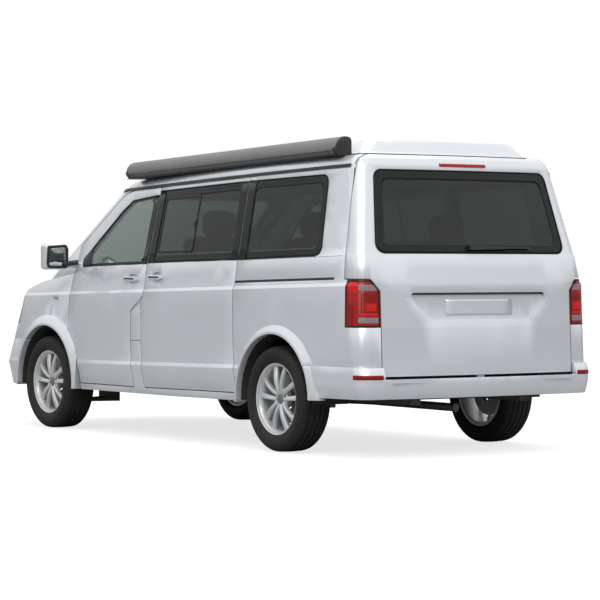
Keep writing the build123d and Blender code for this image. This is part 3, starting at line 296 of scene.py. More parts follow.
def object_height(tree):
    """Height above the ground, as the Z of object coordinates."""
    coords = place(tree, "ShaderNodeTexCoord")
    return place(tree, "ShaderNodeSeparateXYZ", in_Vector=coords.outputs["Object"]).outputs["Z"]


def combined(tree, first, second, operation="MULTIPLY", **settings):
    """Output of a Math node over two sockets or numbers."""
    node = place(tree, "ShaderNodeMath", operation=operation, **settings)
    feed(tree, node.inputs[0], first)
    feed(tree, node.inputs[1], second)
    return node.outputs[0]


def mixed(tree, factor, first, second, kind="RGBA", **settings):
    """Output of a Mix node between two sockets or values."""
    node = place(tree, "ShaderNodeMix", data_type=kind, **settings)
    for label, value in (("Factor", factor), ("A", first), ("B", second)):
        feed(tree, node.inputs[label], value)
    return node.outputs["Result"]


def build_dust():
    """Road dust: thick near the ground, thin higher up, broken by two sizes of noise."""
    group, start, end = new_group(
        "road_dust",
        [("Color", "NodeSocketColor", (0.8, 0.8, 0.8, 1)), ("Dust", "NodeSocketColor", linear(150, 146, 138)),
         ("Amount", "NodeSocketFloat", 0.25), ("Height", "NodeSocketFloat", 0.6), (
             "Roughness", "NodeSocketFloat", 0.3,
         )],
        [("Color", "NodeSocketColor"), ("Roughness", "NodeSocketFloat")],
    )
    fade = place(
        group, "ShaderNodeMapRange", interpolation_type="SMOOTHSTEP", in_Value=object_height(group),
        in_From_Min=0.15, in_From_Max=start.outputs["Height"], in_To_Min=1.0, in_To_Max=0.06,
    )
    coarse = texture(group, "Noise", in_Scale=5.0, in_Detail=6.0, in_Roughness=0.65)
    fine = texture(group, "Noise", in_Scale=90.0, in_Detail=3.0)
    clouds = combined(group, coarse.outputs["Fac"], fine.outputs["Fac"])
    spread = combined(group, clouds, fade.outputs["Result"])
    level = combined(group, spread, start.outputs["Amount"], use_clamp=True)
    lift = combined(group, level, 3.0, use_clamp=True)
    feed(group, end.inputs["Color"], mixed(group, lift, start.outputs["Color"], start.outputs["Dust"]))
    feed(group, end.inputs["Roughness"], mixed(group, lift, start.outputs["Roughness"], 0.85, "FLOAT"))
    return group


def build_grain():
    """Moulded grain: smooth voronoi cells give the height and slow noise gives the shade."""
    group, start, end = new_group(
        "moulded_grain",
        [("Scale", "NodeSocketFloat", 900.0)],
        [("Height", "NodeSocketFloat"), ("Shade", "NodeSocketFloat")],
    )
    cells = texture(group, "Voronoi", feature="SMOOTH_F1", in_Scale=start.outputs["Scale"])
    slow = texture(group, "Noise", in_Scale=14.0, in_Detail=4.0)
    feed(group, end.inputs["Height"], cells.outputs["Distance"])
    feed(group, end.inputs["Shade"], slow.outputs["Fac"])
    return group


def build_weave():
    """Woven cloth: two crossed waves, the higher thread on top, with a slow fade in shade."""
    group, start, end = new_group(
        "woven_cloth",
        [("Scale", "NodeSocketFloat", 420.0)],
        [("Height", "NodeSocketFloat"), ("Shade", "NodeSocketFloat")],
    )
    waves = [
        texture(
            group, "Wave", wave_type="BANDS", bands_direction=direction, in_Distortion=0.6,
            in_Scale=start.outputs["Scale"],
        ).outputs["Fac"]
        for direction in ("X", "Z")
    ]
    slow = texture(group, "Noise", in_Scale=9.0, in_Detail=5.0, in_Roughness=0.6)
    feed(group, end.inputs["Height"], combined(group, *waves, "MAXIMUM"))
    feed(group, end.inputs["Shade"], slow.outputs["Fac"])
    return group


DUST = build_dust()
GRAIN = build_grain()
WEAVE = build_weave()


# ---------------------------------------------------------------- finishes
def finish(name, roughness=0.5, metallic=0.0, **sockets):
    """A new material with its Principled shader; sockets are set by name."""
    material = bpy.data.materials.new(name)
    material.use_nodes = True
    shader = material.node_tree.nodes["Principled BSDF"]
    shader.inputs["Roughness"].default_value = roughness
    shader.inputs["Metallic"].default_value = metallic
    for key, value in sockets.items():
        shader.inputs[key.replace("_", " ")].default_value = value
    return material, material.node_tree, shader


def group_node(tree, group, **values):
    """Places a shared group in a material with its own values."""
    node = tree.nodes.new("ShaderNodeGroup")
    node.node_tree = group
    for key, value in values.items():
        feed(tree, node.inputs[key], value)
    return node


def bump(tree, shader, height, strength, distance):
    """Feeds a height through a Bump node into the shader's normal."""
    node = place(tree, "ShaderNodeBump", in_Strength=strength, in_Distance=distance, in_Height=height)
    feed(tree, shader.inputs["Normal"], node.outputs["Normal"])
    return node


def dusty(tree, shader, colour, amount, height, roughness):
    """Runs a colour through the road dust group into the shader."""
    dust = group_node(tree, DUST, Amount=amount, Height=height, Roughness=roughness, Color=colour)
    feed(tree, shader.inputs["Base Color"], dust.outputs["Color"])
    feed(tree, shader.inputs["Roughness"], dust.outputs["Roughness"])


CREASE_FOOT = 0.45
CREASE_TOP = 0.80
CREASE_SLOPE = math.tan(math.radians(3.0))


def paint_finish(name="body_paint", crease=False):
    """Silver-white metallic lacquer: fine flakes tilt the reflection, a clear coat lies over them.

    With a crease, the panel falls in by three degrees below a level line, as a slope in its normal's height.
    """
    roughness = 0.36
    material, tree, shader = finish(name, roughness, 0.5, Coat_Weight=0.8, Coat_Roughness=0.05, Coat_IOR=1.5)
    flakes = texture(tree, "Noise", in_Scale=1400.0, in_Detail=1.0)
    slow = texture(tree, "Noise", in_Scale=1.6, in_Detail=3.0)
    tone = mixed(tree, slow.outputs["Fac"], linear(214, 218, 223), linear(224, 228, 233))
    sparkle = mixed(tree, 0.06, tone, flakes.outputs["Fac"], blend_type="OVERLAY")
    dusty(tree, shader, sparkle, 0.05, 0.55, roughness)
    fine = bump(tree, shader, flakes.outputs["Fac"], 0.04, 0.0004)
    if crease:
        slope = place(
            tree, "ShaderNodeMapRange", in_Value=object_height(tree), in_From_Min=CREASE_FOOT,
            in_From_Max=CREASE_TOP, in_To_Min=(CREASE_FOOT - CREASE_TOP) * CREASE_SLOPE, in_To_Max=0.0,
        )
        fall = place(
            tree, "ShaderNodeBump", in_Strength=1.0, in_Distance=1.0, in_Height=slope.outputs["Result"],
        )
        feed(tree, fine.inputs["Normal"], fall.outputs["Normal"])
    return material


def plastic_finish(name, dark, light, roughness, scale=700.0, strength=0.25, dust=0.2, shine=0.5):
    """Moulded plastic with a fine grain and a slow change of shade."""
    material, tree, shader = finish(name, roughness, Specular_IOR_Level=shine)
    grain = group_node(tree, GRAIN, Scale=scale)
    dusty(tree, shader, mixed(tree, grain.outputs["Shade"], dark, light), dust, 0.6, roughness)
    bump(tree, shader, grain.outputs["Height"], strength, 0.0006)
    return material


def metal_finish(name, dark, light, roughness, metallic=1.0, dust=0.2, strength=0.08):
    """Metal with a fine grain, patchy shade and road dust."""
    material, tree, shader = finish(name, roughness, metallic)
    grain = texture(tree, "Noise", in_Scale=260.0, in_Detail=4.0)
    patches = texture(tree, "Noise", in_Scale=11.0, in_Detail=5.0)
    dusty(tree, shader, mixed(tree, patches.outputs["Fac"], dark, light), dust, 0.7, roughness)
    bump(tree, shader, grain.outputs["Fac"], strength, 0.0008)
    return material


def shaded(colour, share):
    """The same colour darker by a share."""
    return tuple(share * channel for channel in colour[:3]) + (1.0,)


def glass_finish(name, tint):
    """Tinted glazing that lets light through, with faint wipe marks in its roughness."""
    clean, wiped = 0.02, 0.05
    material, tree, shader = finish(name, clean, Transmission_Weight=1.0, IOR=1.45)
    marks = texture(tree, "Noise", in_Scale=6.0, in_Detail=6.0).outputs["Fac"]
    rough = place(tree, "ShaderNodeMapRange", in_To_Min=clean, in_To_Max=wiped, in_Value=marks)
    feed(tree, shader.inputs["Roughness"], rough.outputs["Result"])
    feed(tree, shader.inputs["Base Color"], mixed(tree, marks, tint, shaded(tint, 0.94)))
    return material


def lens_finish(name, tint, rib_scale, weight):
    """Coloured lamp lens with fine optic ribs behind a glossy face."""
    material, tree, shader = finish(name, 0.12, Transmission_Weight=weight, IOR=1.5, Specular_IOR_Level=0.35)
    ribs = texture(tree, "Wave", bands_direction="Z", in_Scale=rib_scale, in_Distortion=0.0).outputs["Fac"]
    feed(tree, shader.inputs["Base Color"], mixed(tree, ribs, shaded(tint, 0.72), tint))
    bump(tree, shader, ribs, 0.15, 0.0008)
    return material


def tyre_finish():
    """Tyre rubber: dull black with a moulded grain and a little dust."""
    roughness = 0.72
    material, tree, shader = finish("tyre_rubber", roughness, Specular_IOR_Level=0.35)
    grain = group_node(tree, GRAIN, Scale=420.0)
    colour = mixed(tree, grain.outputs["Shade"], linear(18, 18, 19), linear(28, 28, 28))
    dusty(tree, shader, colour, 0.05, 0.9, roughness)
    bump(tree, shader, grain.outputs["Height"], 0.3, 0.0008)
    return material


def cloth_finish(name, dark, light, scale=260.0):
    """Woven cloth with a little sheen."""
    material, tree, shader = finish(name, 0.9, Sheen_Weight=0.25, Sheen_Roughness=0.5)
    weave = group_node(tree, WEAVE, Scale=scale)
    feed(tree, shader.inputs["Base Color"], mixed(tree, weave.outputs["Shade"], dark, light))
    bump(tree, shader, weave.outputs["Height"], 0.5, 0.0012)
    return material


PAINT = paint_finish()
TAIL_PAINT = paint_finish("tailgate_paint", crease=True)
TRIM = plastic_finish("black_trim", linear(24, 25, 26), linear(34, 35, 36), 0.45)
GLOSS = plastic_finish(
    "gloss_black_band", linear(18, 21, 21), linear(26, 29, 29), 0.25, strength=0.02, dust=0.0, shine=0.28,
)
RUBBER = plastic_finish(
    "seal_rubber", linear(14, 14, 14), linear(22, 22, 22), 0.75, scale=1200.0, strength=0.15, dust=0.0,
    shine=0.25,
)
CABIN = plastic_finish(
    "cabin_plastic", linear(46, 47, 49), linear(58, 59, 61), 0.6, scale=900.0, strength=0.3, dust=0.0,
)
LINING = plastic_finish(
    "cabin_lining", linear(150, 149, 144), linear(168, 166, 160), 0.8, scale=500.0, strength=0.2, dust=0.0,
)
CLEAR_GLASS = glass_finish("clear_glass", linear(212, 226, 220))
DARK_GLASS = glass_finish("dark_glass", linear(104, 120, 113))
RED_LENS = lens_finish("red_lens", linear(176, 10, 14), 240.0, 0.1)
CLEAR_LENS = lens_finish("clear_lens", linear(222, 226, 230), 300.0, 0.7)
AWNING_GREY = metal_finish("awning_grey", linear(104, 105, 106), linear(122, 123, 124), 0.42, 0.35, dust=0.1)
AWNING_BLACK = plastic_finish("awning_cap", linear(30, 31, 32), linear(42, 43, 44), 0.5)
TYRE = tyre_finish()
ALLOY = metal_finish(
    "alloy_silver", linear(198, 200, 202), linear(216, 218, 220), 0.34, 0.4, dust=0.08, strength=0.03,
)
SEAM = plastic_finish(
    "seam_shadow", linear(12, 12, 13), linear(18, 18, 19), 0.9, scale=1200.0, strength=0.1, dust=0.0,
)
LINER = plastic_finish(
    "arch_liner", linear(14, 14, 15), linear(22, 22, 23), 0.85, scale=300.0, strength=0.4, dust=0.1,
)
STEEL = metal_finish("disc_steel", linear(120, 118, 114), linear(160, 158, 154), 0.38, 1.0, dust=0.1)
CHASSIS = metal_finish("chassis_black", linear(22, 22, 23), linear(36, 35, 34), 0.6, 0.1, dust=0.35)
CASTING = metal_finish("engine_casting", linear(90, 90, 88), linear(120, 119, 116), 0.55, 0.6, dust=0.3)
PIPE = metal_finish("exhaust_pipe", linear(110, 102, 92), linear(150, 144, 134), 0.5, 0.9, dust=0.4)
SEAT_CLOTH = cloth_finish("seat_cloth", linear(44, 45, 48), linear(66, 67, 70))
SEAT_PANEL = cloth_finish("seat_panel_cloth", linear(78, 79, 82), linear(104, 105, 108), 180.0)
TENT_CLOTH = cloth_finish("tent_canvas", linear(120, 122, 124), linear(146, 148, 150), 320.0)
BED_CLOTH = cloth_finish("mattress_cloth", linear(150, 148, 142), linear(176, 174, 168), 240.0)
MIRROR = metal_finish(
    "mirror_glass", linear(168, 174, 176), linear(182, 188, 190), 0.05, 1.0, dust=0.0, strength=0.0,
)

NODE_FINISH = {
    "left_body_side": PAINT, "right_body_side": PAINT, "sliding_door": PAINT, "front_door_left": PAINT,
    "front_door_right": PAINT, "roof_frame": PAINT, "roof_lid": PAINT, "tailgate": TAIL_PAINT,
    "rear_bumper": PAINT,
    "bonnet": PAINT, "front_bumper": PAINT, "front_wings": PAINT, "fuel_flap": PAINT, "mirror_left": PAINT,
    "mirror_right": PAINT, "windscreen": CLEAR_GLASS, "door_glass_left": CLEAR_GLASS,
    "door_glass_right": CLEAR_GLASS,
    "side_glass": DARK_GLASS, "tailgate_glass": DARK_GLASS, "grille": TRIM, "cowl": TRIM, "dashboard": CABIN,
    "steering_wheel": CABIN, "side_rails": TRIM, "awning_brackets": TRIM, "front_wipers": TRIM,
    "rear_wiper": TRIM,
    "rear_lamps": RED_LENS, "tailgate_lamp": RED_LENS, "headlamps": CLEAR_LENS, "awning": AWNING_GREY,
    "tyre_fl": TYRE, "tyre_fr": TYRE, "tyre_rl": TYRE, "tyre_rr": TYRE, "rim_fl": ALLOY, "rim_fr": ALLOY,
    "rim_rl": ALLOY, "rim_rr": ALLOY, "front_seats": SEAT_CLOTH, "rear_bench": SEAT_CLOTH,
    "loft_bed": BED_CLOTH,
    "roof_bellows": TENT_CLOTH, "floor_pan": CHASSIS, "firewall": CHASSIS, "front_axle": CHASSIS,
    "rear_axle": CHASSIS,
    "knuckle_left": CHASSIS, "knuckle_right": CHASSIS, "engine": CASTING, "exhaust": PIPE,
}
SOFT_EDGES = {
    "left_body_side", "right_body_side", "sliding_door", "front_door_left", "front_door_right", "roof_frame",
    "roof_lid",
    "tailgate", "rear_bumper", "bonnet", "front_bumper", "front_wings", "fuel_flap", "grille", "cowl",
    "awning",
}
for node_name, node_finish in NODE_FINISH.items():
    node = cad[node_name]
    node.data.materials.clear()
    node.data.materials.append(node_finish)
    weld = node.modifiers.new("weld", "WELD")
    weld.merge_threshold = 0.00001
    if node_name in SOFT_EDGES:
        edges = node.modifiers.new("edges", "BEVEL")
        edges.width = 0.0022
        edges.segments = 2
        edges.limit_method = "ANGLE"
        edges.angle_limit = math.radians(11)
        edges.harden_normals = True


# ---------------------------------------------------------------- ways to make a piece
def strip_on(surface, outer, inner, lift, depth, name, material, body, slot=None):
    """Closed band that follows a surface between two outlines: foot, outer edge, inner edge, foot again."""
    middle = (outer + inner) / 2
    rows = [(outer, lift - depth), (outer, lift * 0.6), (outer * 0.8 + inner * 0.2, lift), (middle, lift),
            (outer * 0.2 + inner * 0.8, lift), (inner, lift * 0.6), (inner, lift - depth)]
    points = np.stack([surface(loop[:, 0], loop[:, 1], height) for loop, height in rows])
    return mesh_piece(
        name, points, grid_faces(len(rows), outer.shape[0], wrap_rows=True, wrap_columns=True), material,
        body, slot,
    )


def patch_on(surface, outline, lift, depth, name, material, body, slot=None, crown=0.0, rings=7):
    """Closed patch that follows a surface: rings shrink to its middle, rising by the crown, over a skirt."""
    middle = outline.mean(0)
    share = np.cos(np.linspace(0, math.pi / 2, rings))
    points = [surface(outline[:, 0], outline[:, 1], lift - depth)]
    for part in share:
        loop = middle + (outline - middle) * max(part, 1e-4)
        points.append(surface(loop[:, 0], loop[:, 1], lift + crown * (1 - part**2)))
    points = np.stack(points)
    count = outline.shape[0]
    faces = grid_faces(points.shape[0], count, wrap_columns=True).tolist() + [list(range(count))]
    return mesh_piece(name, points, faces, material, body, slot, merge=1e-5)


def lathe_points(profile, steps):
    """Points of a profile of (radius, y) pairs turned round the Y axis in even steps."""
    profile = np.array(profile, float)
    turn = np.linspace(0, 2 * math.pi, steps, endpoint=False)
    radius = profile[:, 0][:, None]
    return np.stack([radius * np.cos(turn), profile[:, 1][:, None] + 0 * turn, radius * np.sin(turn)], -1)


def sweep_points(path, profile, up=(0, 0, 1)):
    """Points of a small closed profile carried along a path, in the frame of its tangent and up."""
    path = np.array(path, float)
    tangent = np.gradient(path, axis=0)
    tangent /= np.linalg.norm(tangent, axis=1)[:, None]
    across = np.cross(tangent, np.broadcast_to(np.array(up, float), path.shape))
    across /= np.linalg.norm(across, axis=1)[:, None]
    over = np.cross(across, tangent)
    profile = np.array(profile, float)
    if profile.ndim == 2:
        profile = np.broadcast_to(profile, (path.shape[0], *profile.shape))
    return path[:, None] + profile[..., 0, None] * across[:, None] + profile[..., 1, None] * over[:, None]


def capped(name, points, material, body, slot):
    """A closed run of sections with both ends filled."""
    rows, columns = points.shape[:2]
    faces = grid_faces(rows, columns, wrap_columns=True).tolist()
    faces += [list(range(columns)), list(range((rows - 1) * columns, rows * columns))]
    return mesh_piece(name, points, faces, material, body, slot)


def swept(name, path, profile, material, body, slot, up=(0, 0, 1)):
    """A closed bar: the profile carried along the path, with both ends filled."""
    return capped(name, sweep_points(path, profile, up), material, body, slot)


def ring(radius_across, radius_over, count):
    """An oval profile of the given half sizes."""
    turn = np.linspace(0, 2 * math.pi, count, endpoint=False)
    return np.stack([np.cos(turn), np.sin(turn)], 1) * (radius_across, radius_over)


def smooth_path(points, count=40):
    """A smooth run through a few points: a chain of cubic curves with even parameter steps."""
    points = np.array(points, float)
    padded = np.concatenate([2 * points[:1] - points[1:2], points, 2 * points[-1:] - points[-2:-1]])
    t = np.linspace(0, len(points) - 1 - 1e-9, count)
    cell = t.astype(int)
    u = (t - cell)[:, None]
    a, b, c, d = (padded[cell + k] for k in range(4))
    return 0.5 * (2 * b + (c - a) * u + (2 * a - 5 * b + 4 * c - d) * u**2 + (3 * b - a - 3 * c + d) * u**3)


def both_sides(make):
    """Calls a maker for the left (1) and the right (-1)."""
    for side, word in ((1, "left"), (-1, "right")):
        make(side, word)


# ---------------------------------------------------------------- glazing bands, seals and pillar trims
BELT = 1.206
FRONT_PANE = [
    (0.216, BELT - 0.010), (1.150, BELT - 0.030), (1.160, BELT + 0.016), (0.694, 1.560), (0.560, 1.632),
    (0.216, 1.660),
]
MIDDLE_PANE = [(0.118, BELT - 0.004), (-0.958, BELT + 0.014), (-0.958, 1.722), (0.118, 1.690)]
QUARTER_PANE = [(-1.042, BELT + 0.016), (-1.916, BELT + 0.036), (-1.878, 1.742), (-1.042, 1.724)]
REAR_PANE = [(-0.742, 1.256), (0.742, 1.256), (0.668, 1.768), (-0.668, 1.768)]
SCREEN_PANE = [(-0.742, 1.140), (0.742, 1.140), (0.652, 1.706), (-0.652, 1.706)]
PANE_RADIUS = 0.026


def glass_bands(side, word):
    """Black printed edge along each pane's border, a seal round it and the pillar covers between panes."""
    surface = side_surface(side)
    panes = [
        ("front", FRONT_PANE, PANE_RADIUS, 0.016, f"front_door_{word}"),
        ("middle", MIDDLE_PANE, PANE_RADIUS, 0.052, "body"),
        ("quarter", QUARTER_PANE, 2 * PANE_RADIUS, 0.050, "body"),
    ]
    for name, corners, radius, width, body in panes:
        outer = rounded(inset(corners, 0.0006), radius, spans=14)
        inner = rounded(inset(corners, width), radius * 0.9, spans=14)
        strip_on(surface, outer, inner, -0.0012, 0.0003, f"{name}_band_{word}", GLOSS, body, "black_plastic")
        seal_out = rounded(inset(corners, -0.006), radius + 0.006, spans=14)
        seal_in = rounded(inset(corners, 0.003), radius, spans=14)
        strip_on(
            surface, seal_out, seal_in, 0.0016, 0.003, f"{name}_seal_{word}", RUBBER, body, "black_plastic",
        )
    # The sliding half of the middle pane: a slim frame and its catch.
    frame_out = rounded([(0.060, 1.262), (-0.420, 1.270), (-0.420, 1.658), (0.060, 1.646)], 0.030, spans=12)
    frame_in = rounded([(0.042, 1.280), (-0.402, 1.288), (-0.402, 1.640), (0.042, 1.628)], 0.022, spans=12)
    strip_on(
        surface, frame_out, frame_in, 0.002, 0.005, f"slider_frame_{word}", GLOSS, "body", "black_plastic",
    )
    catch = rounded([(-0.408, 1.440), (-0.388, 1.440), (-0.388, 1.480), (-0.408, 1.480)], 0.006)
    patch_on(surface, catch, 0.006, 0.006, f"slider_catch_{word}", TRIM, "body", "black_plastic", crown=0.002)
    # Pillar covers: the dark runs between the panes, from a little over each pane to the seam beside it.
    covers = [
        ("door_pillar_cover", FRONT_PANE, 0.1665, 0.232, f"front_door_{word}"),
        ("front_pillar_cover", MIDDLE_PANE, 0.078, 0.1585, "body"),
        ("rear_pillar_cover", MIDDLE_PANE, -0.9965, -0.918, "body"),
        ("quarter_pillar_cover", QUARTER_PANE, -1.092, -1.0035, "body"),
    ]
    overlap = 0.006
    for name, pane, x_from, x_to, body in covers:
        ends = (x_to, x_from)
        low = np.interp(ends, *np.transpose(sorted(pane[:2]))) - overlap
        high = np.interp(ends, *np.transpose(sorted(pane[-2:]))) + overlap
        corners = [(x_to, low[0]), (x_from, low[1]), (x_from, high[1]), (x_to, high[0])]
        outline = rounded(corners, 0.002, spans=14)
        patch_on(surface, outline, 0.0020, 0.003, f"{name}_{word}", GLOSS, body, "black_plastic", rings=3)


both_sides(glass_bands)


def screen_bands():
    """Printed edges of the windscreen and of the tailgate's window, and the seal round the tailgate's window.
    """
    tail_out = rounded(inset(REAR_PANE, 0.0006), 2 * PANE_RADIUS, spans=14)
    tail_in = rounded(inset(REAR_PANE, 0.058), 1.6 * PANE_RADIUS, spans=14)
    strip_on(
        tail_skin, tail_out, tail_in, -0.0012, 0.0003, "tailgate_band", GLOSS, "tailgate", "black_plastic",
    )
    seal_out = rounded(inset(REAR_PANE, -0.005), 2 * PANE_RADIUS + 0.005, spans=14)
    seal_in = rounded(inset(REAR_PANE, 0.003), 2 * PANE_RADIUS, spans=14)
    strip_on(
        tail_skin, seal_out, seal_in, 0.0016, 0.003, "tailgate_seal", RUBBER, "tailgate", "black_plastic",
    )
    front_out = rounded(inset(SCREEN_PANE, 0.001), 2 * PANE_RADIUS, spans=14)
    front_in = rounded(inset(SCREEN_PANE, 0.050), 1.6 * PANE_RADIUS, spans=14)
    strip_on(
        nose_skin, front_out, front_in, -0.0012, 0.0003, "windscreen_band", GLOSS, "body", "black_plastic",
    )


screen_bands()


# ---------------------------------------------------------------- dark joints in the panel gaps
FRONT_DOOR_SEAM = [
    (1.250, 0.346), (1.250, 1.326), (0.708, 1.684), (0.560, 1.710), (0.163, 1.718), (0.163, 0.972),
    (0.326, 0.872), (0.326, 0.660), (0.290, 0.346),
]
SLIDE_DOOR_SEAM = [
    (0.163, 1.720), (0.163, 0.974), (0.194, 0.930), (0.183, 0.662), (0.146, 0.348), (-1.016, 0.358),
    (-0.992, 0.640), (-0.984, 0.960), (-1.000, 1.222), (-1.000, 1.754),
]
FLAP_SEAM = [(0.326, 0.664), (0.326, 0.872), (0.194, 0.932), (0.183, 0.664)]
TAIL_SEAM = [
    (-0.807, 1.094), (-0.745, 1.022), (-0.745, 0.500), (0.745, 0.500), (0.745, 1.022), (0.807, 1.094),
]


def seam_strip(name, surface, corners, closed, width=0.0030, depth=0.0040, steps=26):
    """Dark strip sunk in a panel gap: a flat bar along straight runs between corners, on a surface."""
    corners = np.array(corners, float)
    ends = np.roll(corners, -1, 0) if closed else corners[1:]
    starts = corners if closed else corners[:-1]
    share = np.linspace(0, 1, steps, endpoint=False)[None, :, None]
    path = (starts[:, None] + share * (ends - starts)[:, None]).reshape(-1, 2)
    if not closed:
        path = np.concatenate([path, corners[-1:]])
    ahead = np.roll(path, -1, 0) - path
    back = path - np.roll(path, 1, 0)
    if not closed:
        ahead[-1], back[0] = back[-1], ahead[0]
    ahead /= np.linalg.norm(ahead, axis=1)[:, None]
    back /= np.linalg.norm(back, axis=1)[:, None]
    normal = np.stack([-(ahead + back)[:, 1], (ahead + back)[:, 0]], 1)
    normal /= np.maximum((normal**2).sum(1) / 2, 0.5)[:, None]
    left, right = path + normal * width / 2, path - normal * width / 2
    rows = [(left, -depth), (right, -depth), (right, -depth - 0.003), (left, -depth - 0.003)]
    points = np.stack([surface(loop[:, 0], loop[:, 1], lift) for loop, lift in rows])
    faces = grid_faces(4, path.shape[0], wrap_rows=True, wrap_columns=closed).tolist()
    if not closed:
        count = path.shape[0]
        faces += [[0, count, 2 * count, 3 * count], [count - 1, 2 * count - 1, 3 * count - 1, 4 * count - 1]]
    mesh_piece(name, points, faces, SEAM, "body", "black_plastic", smooth=False)


def panel_seams(side, word):
    """Joints round the doors, the fuel flap and the tailgate's upper sides."""
    surface = side_surface(side)
    seam_strip(f"front_door_joint_{word}", surface, FRONT_DOOR_SEAM, True)
    if side > 0:
        seam_strip("slide_door_joint", surface, SLIDE_DOOR_SEAM, False)
        seam_strip("fuel_flap_joint", surface, FLAP_SEAM, True)
    seam_strip(f"tailgate_joint_{word}", surface, [(-2.182, 1.098), (-2.122, 1.780)], False)
    seam_strip(
        f"quarter_joint_{word}", surface, [(-1.008, 1.213), (-2.140, 1.238)], False, width=0.0016,
        depth=-0.0004,
    )


both_sides(panel_seams)
seam_strip("tailgate_low_joint", tail_skin, TAIL_SEAM, False)


HANDLES = [
    ("front", 0.347, 1.090, "front_door_left"), ("front", 0.347, 1.090, "front_door_right"),
    ("slide", 0.008, 1.102, "body"),
]


def handle_shade_insert(number, word, x, z, body):
    """Dark insert along the face of a door handle: painted shade that darkens the handle."""
    side = -1 if body.endswith("right") else 1

    def surface(along, height, lift):
        return np.stack([along, side * (ruled_depth(LOWER_LEVELS, "side", along, height) + lift), height], -1)

    outline = rounded(
        [(x - 0.070, z - 0.0055), (x + 0.070, z - 0.0055), (x + 0.070, z + 0.0055), (x - 0.070, z + 0.0055)],
        0.005, spans=10,
    )
    # painted shade: a black strip on the handle's face, darkening it as if it were in shade
    patch_on(
        surface, outline, 0.0308, 0.004, f"{word}_handle_shade_insert_{number}", TRIM, body, "black_plastic",
        rings=3,
    )


for number, (word, x, z, body) in enumerate(HANDLES):
    handle_shade_insert(number, word, x, z, body)


def plate_place():
    """Dark strip at the top of the tailgate's recess, partly the plate-lamp strip and partly painted shade
    under the lip, and the plain raised panel where a plate would go.
    """
    # painted shade: a black strip sunk under the recess's top edge, where the lip casts its shadow; in part
    # the plate-lamp strip
    lip = rounded([(-0.545, 0.9985), (0.545, 0.9985), (0.553, 1.0085), (-0.553, 1.0085)], 0.003, spans=24)
    patch_on(tail_skin, lip, -0.006, 0.011, "recess_lip_shade", TRIM, "tailgate", "black_plastic", rings=3)
    panel = rounded([(-0.262, 0.872), (0.262, 0.872), (0.262, 0.972), (-0.262, 0.972)], 0.010, spans=16)
    patch_on(tail_skin, panel, -0.0150, 0.004, "plate_panel", PAINT, "tailgate", "body_paint", rings=3)


plate_place()

# ---------------------------------------------------------------- wheels
AXLE_Z = 0.336
WHEELS = [
    ("fl", 1.544, 0.814, 1), ("fr", 1.544, -0.814, -1), ("rl", -1.456, 0.814, 1), ("rr", -1.456, -0.814, -1),
]


def tyre_points():
    """Tyre by turn and section: five ribs, four grooves, notched shoulders, two lines per wall."""
    section = np.array([
        (0.2162, -0.0885), (0.2300, -0.0890), (0.2360, -0.1010), (0.2480, -0.1095), (0.2520, -0.1098),
        (0.2545, -0.1122), (0.2600, -0.1128), (0.2740, -0.1172), (0.2900, -0.1170), (0.2960, -0.1155),
        (0.2975, -0.1168), (0.3005, -0.1152), (0.3110, -0.1085), (0.3200, -0.1010), (0.3270, -0.0935),
        (0.3305, -0.0880), (0.3325, -0.0800), (0.3338, -0.0720), (0.3345, -0.0630), (0.3345, -0.0618),
        (0.3345, -0.0545), (0.3345, -0.0535), (0.3352, -0.0400), (0.3357, -0.0250), (0.3357, -0.0240),
        (0.3357, -0.0165), (0.3357, -0.0155), (0.3360, -0.0080), (0.3360, 0.0000),
    ])
    mirrored = section[::-1][1:] * (1, -1)
    section = np.concatenate([section, mirrored, [(0.2162, 0.0)]])
    steps = 420
    turn = np.linspace(0, 2 * math.pi, steps, endpoint=False)
    radius = np.repeat(section[:, 0][:, None], steps, 1)
    y = np.repeat(section[:, 1][:, None], steps, 1)
    place_across = np.abs(section[:, 1])[:, None]
    tread = section[:, 0][:, None] > 0.3240
    groove = ((np.abs(place_across - 0.058) < 0.0042) | (np.abs(place_across - 0.0205) < 0.0042)) & tread
    radius = np.where(groove, radius - 0.0065, radius)
    wave = (turn * 70 / (2 * math.pi))[None, :] % 1.0
    shoulder = tread & (place_across > 0.0640) & (place_across < 0.0990)
    radius = np.where(shoulder & (wave < 0.2), radius - 0.0045, radius)
    rib = tread & (place_across < 0.0530) & (place_across > 0.0255)
    shifted = (wave + section[:, 1][:, None] * 9.0) % 1.0
    radius = np.where(rib & (shifted < 0.14), radius - 0.003, radius)
    return np.stack([radius * np.cos(turn), y, radius * np.sin(turn)], -1)


def signed_power(wave, power):
    """Power of a wave that keeps its sign."""
    return np.sign(wave) * np.abs(wave) ** power


WHEEL_TURNS = np.radians(90 + 72 * np.arange(5))  # of the five spoke pairs and the five bolts


def spoke_grid(along, around):
    """One spoke per pair at once: its section is a low wedge that widens and thins from hub to rim."""
    t = np.linspace(0, 1, along)[:, None]
    turn = np.linspace(0, 2 * math.pi, around, endpoint=False)[None, :]
    radial = 0.040 + t * 0.170
    lean = 0.0145 + 0.0395 * t**1.1
    half = 0.0135 + 0.0065 * t**1.4
    wave = signed_power(np.cos(turn), 0.55)
    over = signed_power(np.sin(turn), 0.7)
    ridge = 0.006 * (1 - np.abs(wave - 0.45) / 1.45) * (over > 0)
    face = 0.0655 + 0.018 * np.sin(np.pi * np.clip(t, 0, 1)) * (1 - 0.55 * t) - 0.003 * t
    depth = 0.0165 - 0.004 * t
    lateral = lean + half * wave
    y = face - depth + depth * over + ridge
    return np.broadcast_to(radial, lateral.shape), lateral, y


def rim_piece_points():
    """All ten spokes: the spoke grid at five even turns, with its mirror image as each pair's other spoke."""
    radial, lateral, y = spoke_grid(18, 20)
    pieces = []
    for turn in WHEEL_TURNS:
        for sign in (1, -1):
            x = radial * math.cos(turn) - sign * lateral * math.sin(turn)
            z = radial * math.sin(turn) + sign * lateral * math.cos(turn)
            pieces.append(np.stack([x, y, z], -1))
    return np.stack(pieces)


